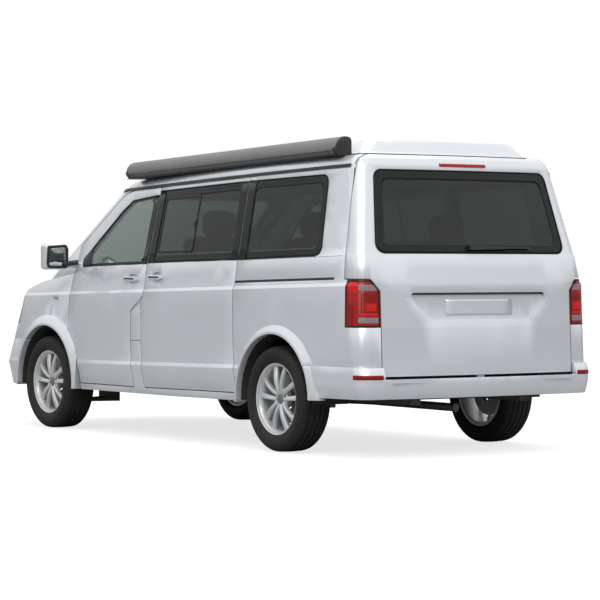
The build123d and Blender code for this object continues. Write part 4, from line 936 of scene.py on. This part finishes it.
BARREL = [
    (0.2272, 0.0950), (0.2285, 0.0935), (0.2285, 0.0890), (0.2160, 0.0888), (0.2156, 0.0700),
    (0.2156, -0.0880), (0.2285, -0.0890), (0.2285, -0.0945), (0.2250, -0.0950), (0.2100, -0.0940),
    (0.2030, -0.0850), (0.1990, 0.0250), (0.2010, 0.0520), (0.2060, 0.0700), (0.2120, 0.0800),
    (0.2190, 0.0875), (0.2240, 0.0935),
]
HUB = [
    (0.0001, 0.0590), (0.0300, 0.0590), (0.0310, 0.0600), (0.0330, 0.0605), (0.0400, 0.0630),
    (0.0700, 0.0615), (0.0755, 0.0560), (0.0750, 0.0300), (0.0640, 0.0100), (0.0001, 0.0100),
]
CAP = [
    (0.0001, 0.0690), (0.0120, 0.0688), (0.0240, 0.0680), (0.0285, 0.0662), (0.0300, 0.0630),
    (0.0300, 0.0585), (0.0001, 0.0585),
]
DISC = [
    (0.0700, 0.0060), (0.1540, 0.0060), (0.1560, 0.0040), (0.1560, -0.0180), (0.1540, -0.0200),
    (0.0700, -0.0200), (0.0680, -0.0180), (0.0680, 0.0040),
]
BOLT_CIRCLE = 0.060
BOLT = [(0.0001, 0.0640), (0.0075, 0.0640), (0.0085, 0.0630), (0.0085, 0.0500), (0.0001, 0.0500)]


def build_wheels():
    """Tyre, barrel, spokes, hub, cap, bolts and brake disc of each wheel, mirrored on the right."""
    spokes = rim_piece_points()
    count, rows, columns = spokes.shape[:3]
    ends = [list(range(columns)), list(range((rows - 1) * columns, rows * columns))]
    single = grid_faces(rows, columns, wrap_columns=True).tolist() + ends
    spoke_faces = [
        [corner + rows * columns * index for corner in face] for index in range(count) for face in single
    ]
    bolt = lathe_points(BOLT, 24)
    across = [(BOLT_CIRCLE * math.cos(turn), 0, BOLT_CIRCLE * math.sin(turn)) for turn in WHEEL_TURNS]
    bolts = np.stack([bolt + offset for offset in across])
    bolt_single = grid_faces(*bolt.shape[:2], wrap_rows=True, wrap_columns=True)
    corners = len(bolt.reshape(-1, 3))
    bolt_faces = np.concatenate([bolt_single + corners * index for index in range(len(across))])
    # Name, points, faces (none for a plain turned form), finish, slot, merge distance, split angle (degrees).
    parts = [
        ("tread_tyre", tyre_points(), None, TYRE, "tyre_rubber", 0.0, 38),
        ("barrel", lathe_points(BARREL, 160), None, ALLOY, "alloy", 0.0, 34),
        ("spokes", spokes, spoke_faces, ALLOY, "alloy", 0.0, 40),
        ("hub", lathe_points(HUB, 96), None, ALLOY, "alloy", 3e-4, 40),
        ("centre_cap", lathe_points(CAP, 64), None, AWNING_GREY, "alloy", 3e-4, None),
        ("wheel_bolts", bolts, bolt_faces, TRIM, "chassis_black", 3e-4, None),
        ("brake_disc", lathe_points(DISC, 120), None, STEEL, "pipe_steel", 0.0, 40),
    ]
    for name, x, y, side in WHEELS:
        for label, points, faces, material, slot, merge, angle in parts:
            if faces is None:
                faces = grid_faces(*points.shape[:2], wrap_rows=True, wrap_columns=True)
            placed = points * (1, side, 1) + (x, y, AXLE_Z)
            piece = mesh_piece(f"{label}_{name}", placed, faces, material, f"wheel_{name}", slot, merge=merge)
            if angle:
                piece.modifiers.new("edges", "EDGE_SPLIT").split_angle = math.radians(angle)
        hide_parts(f"tyre_{name}")
        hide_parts(f"rim_{name}")


build_wheels()


def arch_lips():
    """Dark liner edge inside each wheel arch: a thin half tube just inside the skin's own arch."""
    for name, x, y, side in WHEELS:
        turn = np.linspace(math.radians(-3), math.radians(183), 90)
        rows = [(0.4108, 0.905), (0.4108, 0.640), (0.4088, 0.640), (0.4088, 0.905)]
        points = np.stack([
            np.stack(
                [x + radius * np.cos(turn), side * across + 0 * turn, AXLE_Z + radius * np.sin(turn)], -1,
            ) for radius, across in rows
        ])
        count = turn.size
        faces = grid_faces(len(rows), count, wrap_rows=True).tolist()
        faces += [[0, count, 2 * count, 3 * count], [count - 1, 2 * count - 1, 3 * count - 1, 4 * count - 1]]
        mesh_piece(f"arch_lip_{name}", points, faces, LINER, "body", "black_plastic")


arch_lips()

# ---------------------------------------------------------------- rear lamps
def triangles_of(*names):
    """Corner points of every triangle of some CAD nodes, as one array."""
    found = []
    for name in names:
        mesh = cad[name].data
        mesh.calc_loop_triangles()
        points = np.empty(len(mesh.vertices) * 3)
        mesh.vertices.foreach_get("co", points)
        corners = np.empty(len(mesh.loop_triangles) * 3, dtype=np.int64)
        mesh.loop_triangles.foreach_get("vertices", corners)
        found.append(points.reshape(-1, 3)[corners.reshape(-1, 3)])
    return np.concatenate(found)


def furthest_hit(origins, directions, triangles):
    """How far along each ray the last triangle it meets lies, solved for whole arrays at once."""
    a, b, c = triangles[:, 0], triangles[:, 1], triangles[:, 2]
    edge_1, edge_2 = b - a, c - a
    p = np.cross(directions[:, None], edge_2[None])
    det = (edge_1[None] * p).sum(-1)
    det = np.where(np.abs(det) < 1e-14, np.nan, det)
    offset = origins[:, None] - a[None]
    u = (offset * p).sum(-1) / det
    q = np.cross(offset, np.broadcast_to(edge_1[None], offset.shape))
    v = (directions[:, None] * q).sum(-1) / det
    t = (edge_2[None] * q).sum(-1) / det
    inside = (u > -1e-4) & (v > -1e-4) & (u + v < 1.0001) & (t > 0)
    return np.where(inside, t, -1).max(1)


LAMP_PIVOT = (-2.215, 0.749)
LAMP_ARC = 0.150
LAMP_TRIANGLES = triangles_of("rear_lamps")
BUMPER_TRIANGLES = triangles_of("rear_bumper")


def fan_skin(side, triangles):
    """A corner's outer face, met by level rays from LAMP_PIVOT; a over LAMP_ARC is a ray's turn."""
    def surface(a, z, lift):
        turn = np.clip(a / LAMP_ARC, 0.004, math.pi / 2 - 0.03)
        directions = np.stack([-np.cos(turn), np.sin(turn), 0 * turn], 1)
        origins = np.stack([0 * turn + LAMP_PIVOT[0], 0 * turn + LAMP_PIVOT[1], z], 1)
        reach = furthest_hit(origins, directions, triangles)
        typical = np.median(reach[reach > 0])
        reach = np.where(reach > 0, reach, typical)
        points = origins + directions * (reach + lift)[:, None]
        return points * (1, side, 1)

    return surface


RED_DEEP = lens_finish("red_lens_deep", linear(150, 6, 10), 420.0, 0.1)
RED_BRIGHT = lens_finish("red_lens_bright", linear(230, 26, 24), 900.0, 0.1)


def lamp_details(side, word):
    """Dark bezel, two clear fields and the nested red fields of a rear lamp."""
    surface = fan_skin(side, LAMP_TRIANGLES)
    arc = LAMP_ARC * math.pi / 2
    outline = [(0.003, 0.8035), (0.003, 1.018), (0.062, 1.0905), (arc - 0.006, 1.0905), (arc - 0.006, 0.8035)]
    outer = rounded(outline, 0.010, spans=16)
    inner = rounded(inset(outline, 0.010), 0.008, spans=16)
    strip_on(surface, outer, inner, 0.0012, 0.003, f"lamp_bezel_{word}", GLOSS, "body", "black_plastic")
    fields = [
        (
            "clear_top", [(0.012, 1.023), (0.040, 1.062), (0.138, 1.062), (0.138, 1.023)], CLEAR_LENS,
            "lamp_clear", 0.0012,
        ),
        (
            "clear_low", [(0.012, 0.828), (0.012, 0.862), (0.138, 0.862), (0.138, 0.828)], CLEAR_LENS,
            "lamp_clear", 0.0012,
        ),
        (
            "bright_low", [(0.014, 0.871), (0.014, 0.887), (0.118, 0.887), (0.130, 0.871)], RED_BRIGHT,
            "lamp_red", 0.0010,
        ),
        (
            "bright_top", [(0.120, 1.022), (0.145, 1.074), (0.205, 1.074), (0.205, 1.010)], RED_BRIGHT,
            "lamp_red", 0.0004,
        ),
        (
            "deep_field", [(0.016, 0.956), (0.016, 0.998), (0.104, 0.998), (0.104, 0.956)], RED_DEEP,
            "lamp_red", 0.0010,
        ),
        (
            "deep_square", [(0.030, 0.902), (0.030, 0.946), (0.092, 0.946), (0.092, 0.902)], RED_BRIGHT,
            "lamp_red", 0.0010,
        ),
        (
            "deep_side", [(0.166, 0.812), (0.166, 0.945), (0.214, 0.945), (0.214, 0.812)], RED_DEEP,
            "lamp_red", 0.0006,
        ),
    ]
    for name, corners, material, slot, crown in fields:
        loop = rounded(corners, 0.004, spans=12)
        patch_on(
            surface, loop, 0.0010, 0.002, f"lamp_{name}_{word}", material, "body", slot, crown=crown, rings=6,
        )
    frame_out = rounded([(0.012, 0.894), (0.012, 1.006), (0.122, 1.006), (0.122, 0.894)], 0.006, spans=12)
    frame_in = rounded([(0.017, 0.899), (0.017, 1.001), (0.117, 1.001), (0.117, 0.899)], 0.004, spans=12)
    strip_on(surface, frame_out, frame_in, 0.0016, 0.002, f"lamp_frame_{word}", RED_DEEP, "body", "lamp_red")


both_sides(lamp_details)

# ---------------------------------------------------------------- roof: awning case, its caps, rails and painted shade
ROOF_CLIMB = math.radians(1.7)


def on_roof(along, y, height):
    """Points given along the roof's climb, across it and above it."""
    along, y, height = np.broadcast_arrays(along, y, height)
    x = along * math.cos(ROOF_CLIMB) + height * math.sin(ROOF_CLIMB)
    z = 1.800 - along * math.sin(ROOF_CLIMB) + height * math.cos(ROOF_CLIMB)
    return np.stack([x, y, z], -1)


AWNING_SECTION = np.array([
    (0.692, 0.005), (0.692, 0.050), (0.692, 0.090), (0.696, 0.104), (0.706, 0.1135), (0.722, 0.1170),
    (0.742, 0.1155), (0.764, 0.1085), (0.784, 0.0970), (0.800, 0.0820), (0.811, 0.0640), (0.817, 0.0450),
    (0.818, 0.0340), (0.812, 0.0240), (0.803, 0.0140), (0.794, 0.005), (0.760, 0.004), (0.725, 0.004),
])
AWNING_FRONT = 0.575
AWNING_REAR = -1.978


def section_run(stations, grow):
    """The case's section repeated at stations along the roof, each grown about its middle."""
    middle = np.array([0.752, 0.058])
    away = AWNING_SECTION - middle
    away /= np.linalg.norm(away, axis=1)[:, None]
    rows = AWNING_SECTION[None] + away[None] * np.array(grow)[:, None, None]
    return on_roof(np.array(stations)[:, None], rows[..., 0], rows[..., 1])


def awning_details():
    """End caps, their bosses, joint sleeves, the long joint lines of the case and the black rail below it,
    partly mounting rail and partly painted shade under the case.
    """
    for word, end, sign in (("front", AWNING_FRONT, 1), ("rear", AWNING_REAR, -1)):
        stations = end + sign * np.array([-0.024, -0.0238, 0.000, 0.0030, 0.0050])
        cap = capped(
            f"awning_cap_{word}", section_run(stations, [0.000, 0.0016, 0.0016, 0.000, -0.004]), AWNING_BLACK,
            "body", "black_plastic",
        )
        cap.modifiers.new("edges", "EDGE_SPLIT").split_angle = math.radians(35)
        for number, (y, height, radius) in enumerate([(0.779, 0.070, 0.013), (0.733, 0.082, 0.013)]):
            turn = np.linspace(0, 2 * math.pi, 40, endpoint=False)
            profile = [
                (0.0, radius), (0.004, radius), (0.0055, radius * 0.86), (0.0055, radius * 0.55),
                (0.003, radius * 0.5), (0.003, 0.0004),
            ]
            rows = [
                on_roof(end + sign * (0.003 + out), y + r * np.cos(turn), height + r * np.sin(turn)) for out,
                r in profile
            ]
            mesh_piece(
                f"awning_boss_{word}_{number}", np.stack(rows), grid_faces(6, 40, wrap_columns=True),
                AWNING_BLACK, "body", "black_plastic",
            )
        sleeve = end - sign * 0.085
        capped(
            f"awning_sleeve_{word}", section_run([sleeve, sleeve + 0.003], [0.0008, 0.0008]), AWNING_BLACK,
            "body", "black_plastic",
        )
    run = np.linspace(AWNING_REAR + 0.024, AWNING_FRONT - 0.024, 30)
    for number, (y, height) in enumerate([(0.8075, 0.0705), (0.8155, 0.0290), (0.769, 0.1060)]):
        path = on_roof(run, y, height)
        swept(f"awning_joint_{number}", path, ring(0.0016, 0.0016, 6), AWNING_BLACK, "body", "black_plastic")
    # painted shade: a black profile the whole length under the case, standing for its mounting rail and for
    # the shadow the case casts on the roof
    base = np.array([(0.700, 0.0005), (0.700, 0.0045), (0.806, 0.0045), (0.806, 0.0005)])
    stations = np.linspace(AWNING_REAR - 0.004, AWNING_FRONT + 0.004, 8)
    points = on_roof(stations[:, None], base[None, :, 0], base[None, :, 1])
    capped("awning_rail_and_shade", points, AWNING_BLACK, "body", "black_plastic")


awning_details()


LID_FOOT = np.array([(1.800, 1.7, -2.074, -2.050, 0.660, 0.678, 0.600, 0.742, 0.800, 0.060, 0.150)])


def level_loop(level, grow, count=36):
    """Outline of one level of a form, grown outwards: four arcs joined by rounded corners."""
    tail = level_arcs(level, "tail")[0]
    side = level_arcs(level, "side")[0]
    nose = level_arcs(level, "nose")[0]
    angle = np.linspace(tail[3], tail[4], count)
    tail_run = np.stack(
        [tail[1] - (abs(tail[2]) + grow) * np.cos(angle), (abs(tail[2]) + grow) * np.sin(angle)], 1,
    )
    angle = np.linspace(side[3], side[4], 2 * count)
    side_run = np.stack(
        [side[0] + (side[2] + grow) * np.sin(angle), side[1] + (side[2] + grow) * np.cos(angle)], 1,
    )
    angle = np.linspace(nose[4], nose[3], count)
    nose_run = np.stack([nose[1] + (nose[2] + grow) * np.cos(angle), (nose[2] + grow) * np.sin(angle)], 1)
    tail_corner = np.array([level[0, 3] - grow, level[0, 4] + grow])
    nose_corner = np.array([level[0, 7] + grow, level[0, 6] + grow])
    t = np.linspace(0, 1, 12)[1:-1, None]

    def bend(start, corner, end):
        return (1 - t) ** 2 * start + 2 * t * (1 - t) * corner + t**2 * end

    turned_side = side_run[::-1] * (1, -1)
    return np.concatenate([
        tail_run, bend(tail_run[-1], tail_corner, side_run[0]), side_run,
        bend(side_run[-1], nose_corner, nose_run[0]), nose_run,
        bend(nose_run[-1], nose_corner * (1, -1), turned_side[0]), turned_side,
        bend(turned_side[-1], tail_corner * (1, -1), tail_run[0]),
    ])


def lid_seal():
    """Black rubber lip round the foot of the lid."""
    section = [
        (0.0008, 0.0024), (0.0040, 0.0024), (0.0048, 0.0050), (0.0040, 0.0105), (0.0016, 0.0120),
        (0.0008, 0.0105),
    ]
    rows = []
    for grow, height in section:
        loop = level_loop(LID_FOOT, grow)
        rows.append(on_roof(loop[:, 0], loop[:, 1], height + 0 * loop[:, 0]))
    mesh_piece(
        "lid_seal", np.stack(rows),
        grid_faces(len(rows), rows[0].shape[0], wrap_rows=True, wrap_columns=True), RUBBER, "roof_lid",
        "black_plastic",
    )


lid_seal()

# ---------------------------------------------------------------- mirrors, repeaters, intake and reflectors
def mirror_details(side, word):
    """Mirror pane in its dark rim, the corner panel behind it, the mirror's foot and the wing's repeater."""
    body = f"front_door_{word}"
    face_x = 1.1555
    y = 1.046

    def back_face(a, z, lift):
        return np.stack([face_x - lift + 0 * a, side * a, z], -1)

    corners = [
        (y - 0.086, 1.162), (y + 0.072, 1.162), (y + 0.088, 1.190), (y + 0.080, 1.322), (y - 0.070, 1.332),
        (y - 0.088, 1.300),
    ]
    rim_out = rounded(corners, 0.022, spans=10)
    rim_in = rounded(inset(corners, 0.019), 0.016, spans=10)
    strip_on(back_face, rim_out, rim_in, 0.006, 0.008, f"mirror_rim_{word}", TRIM, body, "black_plastic")
    patch_on(
        back_face, rounded(inset(corners, 0.012), 0.018, spans=10), 0.000, 0.004, f"mirror_pane_{word}",
        MIRROR, body, "black_plastic", crown=0.003,
    )

    surface = side_surface(side)
    sail = [(1.020, 1.186), (1.152, 1.180), (1.158, 1.220), (1.040, 1.312)]
    patch_on(
        surface, rounded(sail, 0.006, spans=10), 0.003, 0.006, f"mirror_sail_{word}", TRIM, body,
        "black_plastic", crown=0.004,
    )
    foot = smooth_path(
        [(1.105, side * 0.905, 1.205), (1.130, side * 0.950, 1.198), (1.165, side * 0.985, 1.190)], 12,
    )
    swept(f"mirror_foot_{word}", foot, ring(0.030, 0.018, 16), TRIM, body, "black_plastic")
    repeater = rounded([(1.415, 0.936), (1.512, 0.938), (1.512, 0.966), (1.440, 0.964)], 0.010, spans=8)
    patch_on(
        surface, repeater, 0.003, 0.004, f"side_repeater_{word}", CLEAR_LENS, "body", "lamp_clear",
        crown=0.004,
    )


both_sides(mirror_details)


def intake_screen():
    """Dark screen behind the front bumper's intake, bowed like the fascia."""
    corners = [(-0.440, 0.362), (0.440, 0.362), (0.512, 0.530), (-0.512, 0.530)]

    def surface(y, z, lift):
        return nose_skin(y, z, lift, LOWER_LEVELS)

    patch_on(
        surface, rounded(corners, 0.020, spans=20), -0.050, 0.006, "intake_screen", TRIM, "body",
        "black_plastic", rings=12,
    )


intake_screen()


def bumper_details(side, word):
    """Red reflector that wraps the bumper's corner beside the tailgate."""
    surface = fan_skin(side, BUMPER_TRIANGLES)
    outline = rounded([(0.010, 0.486), (0.158, 0.486), (0.158, 0.514), (0.010, 0.514)], 0.004, spans=14)
    patch_on(
        surface, outline, 0.0015, 0.004, f"bumper_reflector_{word}", RED_DEEP, "body", "lamp_red",
        crown=0.001, rings=6,
    )


both_sides(bumper_details)


# ---------------------------------------------------------------- seats, bench and bed
def pad_points(half, crown, pull, channels=(), square=0.28, rows=64, columns=120):
    """Cushion about its own middle: a box rounded by powers, with bulged faces and pressed channels."""
    up = np.linspace(-math.pi / 2, math.pi / 2, rows)[:, None]
    turn = np.linspace(0, 2 * math.pi, columns, endpoint=False)[None, :]
    ring_size = signed_power(np.cos(up), square)
    a = ring_size * signed_power(np.cos(turn), square)
    b = ring_size * signed_power(np.sin(turn), square)
    c = signed_power(np.sin(up), square) + 0 * turn
    bulge = 1 + crown * (1 - a**2) * (1 - b**2)
    x = half[0] * a * (1 - pull * (1 - b**2))
    y = half[1] * b * (1 - pull * (1 - a**2))
    z = half[2] * c * bulge
    for axis, offset, depth in channels:
        along = (a, b)[axis]
        other = (b, a)[axis]
        fade = np.clip((1 - other**2) * 6, 0, 1) * (c > 0)
        z = z - depth * np.exp(-(((along - offset) * half[axis] / 0.006) ** 2)) * fade
    return np.stack([x, y, z], -1)


def turned(points, lean, middle):
    """Points leaned back about the Y axis and moved to their place."""
    x, y, z = points[..., 0], points[..., 1], points[..., 2]
    leaned = np.stack(
        [x * math.cos(lean) + z * math.sin(lean), y, -x * math.sin(lean) + z * math.cos(lean)], -1,
    )
    return leaned + np.array(middle)


def padding(name, points, material):
    """A padded piece of a seat from its grid of points, riding on the body."""
    faces = grid_faces(*points.shape[:2], wrap_columns=True)
    piece = mesh_piece(name, points, faces, material, "body", "seat_fabric", merge=2e-5)
    return piece


def cushion(name, half, middle, lean, material, channels=(), crown=0.16, square=0.3):
    """A cushion of the given half sizes, leaned back and moved to its place."""
    return padding(name, turned(pad_points(half, crown, 0.03, channels, square), lean, middle), material)


def head_restraint(name, post_name, half, middle, posts):
    """Head restraint on two steel posts; a post's path is given as (x, z) pairs."""
    cushion(name, half, middle, -0.12, SEAT_CLOTH, [(1, 0.0, 0.004)], crown=0.12, square=0.42)
    for offset in (-0.06, 0.06):
        path = [(x, middle[1] + offset, z) for x, z in posts]
        swept(
            f"{post_name}_{offset > 0}", path, ring(0.006, 0.006, 12), STEEL, "body", "pipe_steel",
            up=(0, 1, 0),
        )


def plinth(name, corners, y, half_width, end_size, material, slot):
    """Box under a seat: a rounded side outline carried across, a little smaller at both ends."""
    outline = rounded(corners, 0.02, steps=5, spans=4)
    centre = outline.mean(0)
    sides = y + np.array([-half_width, 0.002 - half_width, half_width - 0.002, half_width])
    loops = centre + (outline - centre)[None] * np.array([end_size, 1.0, 1.0, end_size])[:, None, None]
    across = np.broadcast_to(sides[:, None], loops.shape[:2])
    capped(name, np.stack([loops[..., 0], across, loops[..., 1]], -1), material, "body", slot)


def piping(name, half, middle, lean, level, square=0.3):
    """Sewn cord along a cushion's upper edge: the ring of the cushion's own form at one height."""
    turn = np.linspace(0, 2 * math.pi, 120, endpoint=False)
    size = math.cos(level) ** square
    x = half[0] * size * signed_power(np.cos(turn), square)
    y = half[1] * size * signed_power(np.sin(turn), square)
    loop = np.stack([x, y, 0 * turn + half[2] * math.sin(level) ** square], -1)
    loop = turned(loop * (1.004, 1.004, 1.0), lean, middle)
    loop = np.concatenate([loop, loop[:1]])
    return swept(name, loop, ring(0.0035, 0.0035, 6), SEAT_CLOTH, "body", "seat_fabric")


SEAT_LEAN = -0.06  # radians
BACK_LEAN = -0.17
SEAT_Y = 0.405


def front_seat_pieces():
    """Cushion, side bolsters, back and head restraint of both front seats over their plinths."""
    first = None
    half = (0.245, 0.215, 0.055)
    seat_channels = [(0, 0.35, 0.006), (0, -0.25, 0.006), (1, 0.52, 0.008), (1, -0.52, 0.008)]
    back_channels = [(0, 0.45, 0.007), (0, 0.0, 0.006), (0, -0.45, 0.006), (1, 0.5, 0.008), (1, -0.5, 0.008)]
    side_outline = [
        (0.160, 0.422), (0.480, 0.422), (0.500, 0.520), (0.560, 0.655), (0.120, 0.655), (0.140, 0.520),
    ]
    for word, y in (("left", SEAT_Y), ("right", -SEAT_Y)):
        middle = (0.350, y, 0.715)
        seat = cushion(f"seat_cushion_{word}", half, middle, SEAT_LEAN, SEAT_PANEL, seat_channels)
        first = first or seat
        piping(f"seat_piping_{word}", half, middle, SEAT_LEAN, 1.0)
        for sign in (1, -1):
            cushion(
                f"seat_bolster_{word}_{sign + 1}", (0.235, 0.034, 0.062), (0.345, y + sign * 0.208, 0.722),
                SEAT_LEAN, SEAT_CLOTH, crown=0.1,
            )
            cushion(
                f"back_bolster_{word}_{sign + 1}", (0.056, 0.036, 0.285), (0.098, y + sign * 0.200, 1.065),
                BACK_LEAN, SEAT_CLOTH, crown=0.1,
            )
        upright = pad_points((0.330, 0.205, 0.050), 0.14, 0.03, back_channels, 0.3)[..., ::-1]
        padding(f"seat_back_{word}", turned(upright, BACK_LEAN, (0.075, y, 1.060)), SEAT_PANEL)
        head_restraint(
            f"head_rest_{word}", f"head_post_{word}", (0.040, 0.125, 0.084), (0.008, y, 1.467),
            [(0.022, 1.340), (0.016, 1.390), (0.012, 1.420)],
        )
        plinth(f"seat_plinth_{word}", side_outline, y, 0.188, 0.985, CABIN, "black_plastic")
    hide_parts("front_seats")


front_seat_pieces()


def bench_pieces():
    """Bench cushion, back and two head restraints over the bench's box."""
    channels = [(1, 0.0, 0.014), (1, 0.55, 0.007), (1, -0.55, 0.007)]
    seat = cushion(
        "bench_cushion", (0.285, 0.598, 0.066), (-1.185, 0.0, 0.752), -0.04, SEAT_PANEL,
        channels + [(0, 0.3, 0.006)], crown=0.1,
    )
    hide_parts("rear_bench")
    upright = pad_points((0.300, 0.596, 0.058), 0.12, 0.02, channels + [(0, 0.35, 0.006)], 0.3)[..., ::-1]
    padding("bench_back", turned(upright, -0.22, (-1.492, 0, 1.045)), SEAT_PANEL)
    for number, y in enumerate((-0.34, 0.34)):
        head_restraint(
            f"bench_head_{number}", f"bench_post_{number}", (0.040, 0.126, 0.080), (-1.590, y, 1.420),
            [(-1.575, 1.310), (-1.578, 1.350), (-1.580, 1.380)],
        )
    box_outline = [(-1.438, 0.420), (-0.944, 0.420), (-0.944, 0.688), (-1.438, 0.688)]
    plinth("bench_box", box_outline, 0.0, 0.598, 0.99, LINING, "seat_fabric")


bench_pieces()


def mattress():
    """Mattress of the roof bed: a flat cushion with cross channels, tilted with the roof."""
    half = (0.484, 0.524, 0.0145)
    points = pad_points(
        half, 0.0, 0.005, [(0, 0.5, 0.003), (0, 0.0, 0.003), (0, -0.5, 0.003)], 0.16, rows=48, columns=160,
    )
    placed = on_roof(points[..., 0] - 1.193, points[..., 1], points[..., 2] + 0.0158)
    piece = mesh_piece(
        "roof_mattress", placed, grid_faces(*points.shape[:2], wrap_columns=True), BED_CLOTH, "body",
        "seat_fabric", merge=2e-5,
    )
    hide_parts("loft_bed")


mattress()


def tent():
    """Tent wall of the lifting roof, folded flat: a rounded ring whose wall climbs in small pleats."""
    half_x, half_y, radius = 1.086, 0.553, 0.055
    loop = rounded(
        [(-half_x, -half_y), (half_x, -half_y), (half_x, half_y), (-half_x, half_y)], radius, steps=8,
        spans=44,
    )
    centre = np.array([-0.625, 0.0])
    outward = loop / np.array([half_x, half_y])
    outward = np.sign(outward) * (np.abs(outward) > 0.93)
    outward = outward / np.maximum(np.linalg.norm(outward, axis=1), 1e-6)[:, None]
    rows = 33
    share = np.linspace(0, 1, rows)
    sway = 0.0045 * np.where(np.arange(rows) % 2 == 0, 1.0, -1.0)
    height = 0.0012 + share * 0.0186
    outer = loop[None] + outward[None] * sway[:, None, None]
    inner = outer - outward[None] * 0.0022
    points_out = on_roof(outer[..., 0] + centre[0], outer[..., 1], height[:, None] + 0 * outer[..., 0])
    points_in = on_roof(inner[..., 0] + centre[0], inner[..., 1], height[:, None] + 0 * inner[..., 0])
    points = np.concatenate([points_out, points_in[::-1]])
    faces = grid_faces(points.shape[0], points.shape[1], wrap_rows=True, wrap_columns=True)
    mesh = bpy.data.meshes.new("roof_tent")
    mesh.from_pydata(points.reshape(-1, 3).tolist(), [], faces.tolist())
    mesh.shade_smooth()
    piece = bpy.data.objects.new("roof_tent", mesh)
    bpy.context.scene.collection.objects.link(piece)
    mesh.materials.append(TENT_CLOTH)
    low = on_roof(0.0, 0.0, 0.0012)
    high = on_roof(0.0, 0.0, 0.0198)
    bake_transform(piece)
    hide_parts("roof_bellows")


tent()


# ---------------------------------------------------------------- floor, light and camera
FLOOR_GLOW = 0.74


def make_stage():
    """Pale floor that runs to the horizon and shows white to the camera, but keeps the van's shadow."""
    size = 60.0
    corners = np.array([(-size, -size, 0), (size, -size, 0), (size, size, 0), (-size, size, 0)], float)
    mesh = bpy.data.meshes.new("floor")
    mesh.from_pydata((corners - (0, 0, 0.0005)).tolist(), [], [(0, 1, 2, 3)])
    floor = bpy.data.objects.new("floor", mesh)
    bpy.context.scene.collection.objects.link(floor)
    material = bpy.data.materials.new("pale_floor")
    material.use_nodes = True
    shader = material.node_tree.nodes["Principled BSDF"]
    shader.inputs["Base Color"].default_value = (0.36, 0.36, 0.36, 1)
    shader.inputs["Roughness"].default_value = 0.9
    shader.inputs["Specular IOR Level"].default_value = 0.1
    shader.inputs["Emission Color"].default_value = (1, 1, 1, 1)
    path = place(material.node_tree, "ShaderNodeLightPath")
    glow = combined(material.node_tree, path.outputs["Is Camera Ray"], FLOOR_GLOW)
    feed(material.node_tree, shader.inputs["Emission Strength"], glow)
    mesh.materials.append(material)


def make_world():
    """Soft grey surround that is brighter overhead; only the camera sees it white."""
    world = bpy.data.worlds.new("studio")
    bpy.context.scene.world = world
    world.use_nodes = True
    tree = world.node_tree
    background = tree.nodes["Background"]
    coords = place(tree, "ShaderNodeTexCoord")
    parts = place(tree, "ShaderNodeSeparateXYZ", in_Vector=coords.outputs["Generated"])
    ramp = place(
        tree, "ShaderNodeMapRange", interpolation_type="SMOOTHSTEP", in_Value=parts.outputs["Z"],
        in_From_Min=-0.05, in_From_Max=0.5, in_To_Min=0.30, in_To_Max=1.08,
    )
    path = place(tree, "ShaderNodeLightPath")
    strength = mixed(tree, path.outputs["Is Camera Ray"], ramp.outputs["Result"], 1.0, "FLOAT")
    feed(tree, background.inputs["Color"], (1, 1, 1, 1))
    feed(tree, background.inputs["Strength"], strength)


def soft_light(name, place_at, aim, size_x, size_y, power):
    """Large area lamp at a place, turned to a point."""
    lamp = bpy.data.lights.new(name, "AREA")
    lamp.shape = "RECTANGLE"
    lamp.size = size_x
    lamp.size_y = size_y
    lamp.energy = power
    holder = bpy.data.objects.new(name, lamp)
    bpy.context.scene.collection.objects.link(holder)
    start = np.array(place_at, float)
    direction = np.array(aim, float) - start
    direction /= np.linalg.norm(direction)
    yaw = math.atan2(direction[1], direction[0])
    pitch = math.asin(direction[2])
    holder.location = start
    holder.rotation_euler = (math.pi / 2 + pitch, 0, yaw - math.pi / 2)


CAMERA_PLACE = (-14.839, 9.780, 1.160)
CAMERA_YAW = math.radians(-34.355)
CAMERA_PITCH = math.radians(-0.664)
FOCAL_PIXELS = 2542.5
SHIFT_PIXELS = (12.0, -2.0)
PICTURE_PIXELS = 600
SENSOR_WIDTH = 36


def make_camera():
    """Camera at the rear left, nearly level, at the height of the door handles."""
    lens = bpy.data.cameras.new("camera")
    lens.sensor_width = SENSOR_WIDTH
    lens.lens = FOCAL_PIXELS * SENSOR_WIDTH / PICTURE_PIXELS
    lens.shift_x = -SHIFT_PIXELS[0] / PICTURE_PIXELS
    lens.shift_y = SHIFT_PIXELS[1] / PICTURE_PIXELS
    lens.clip_end = 500
    holder = bpy.data.objects.new("camera", lens)
    holder.location = CAMERA_PLACE
    holder.rotation_euler = (math.pi / 2 + CAMERA_PITCH, 0, CAMERA_YAW - math.pi / 2)
    bpy.context.scene.collection.objects.link(holder)
    bpy.context.scene.camera = holder


make_stage()
make_world()
soft_light("key", (-9.0, 8.0, 7.5), (-0.6, 0.4, 0.8), 7.0, 5.0, 400)
soft_light("top", (0.0, 0.0, 8.5), (0.0, 0.0, 1.0), 8.0, 5.0, 150)
make_camera()
bpy.context.scene.view_settings.view_transform = "Standard"
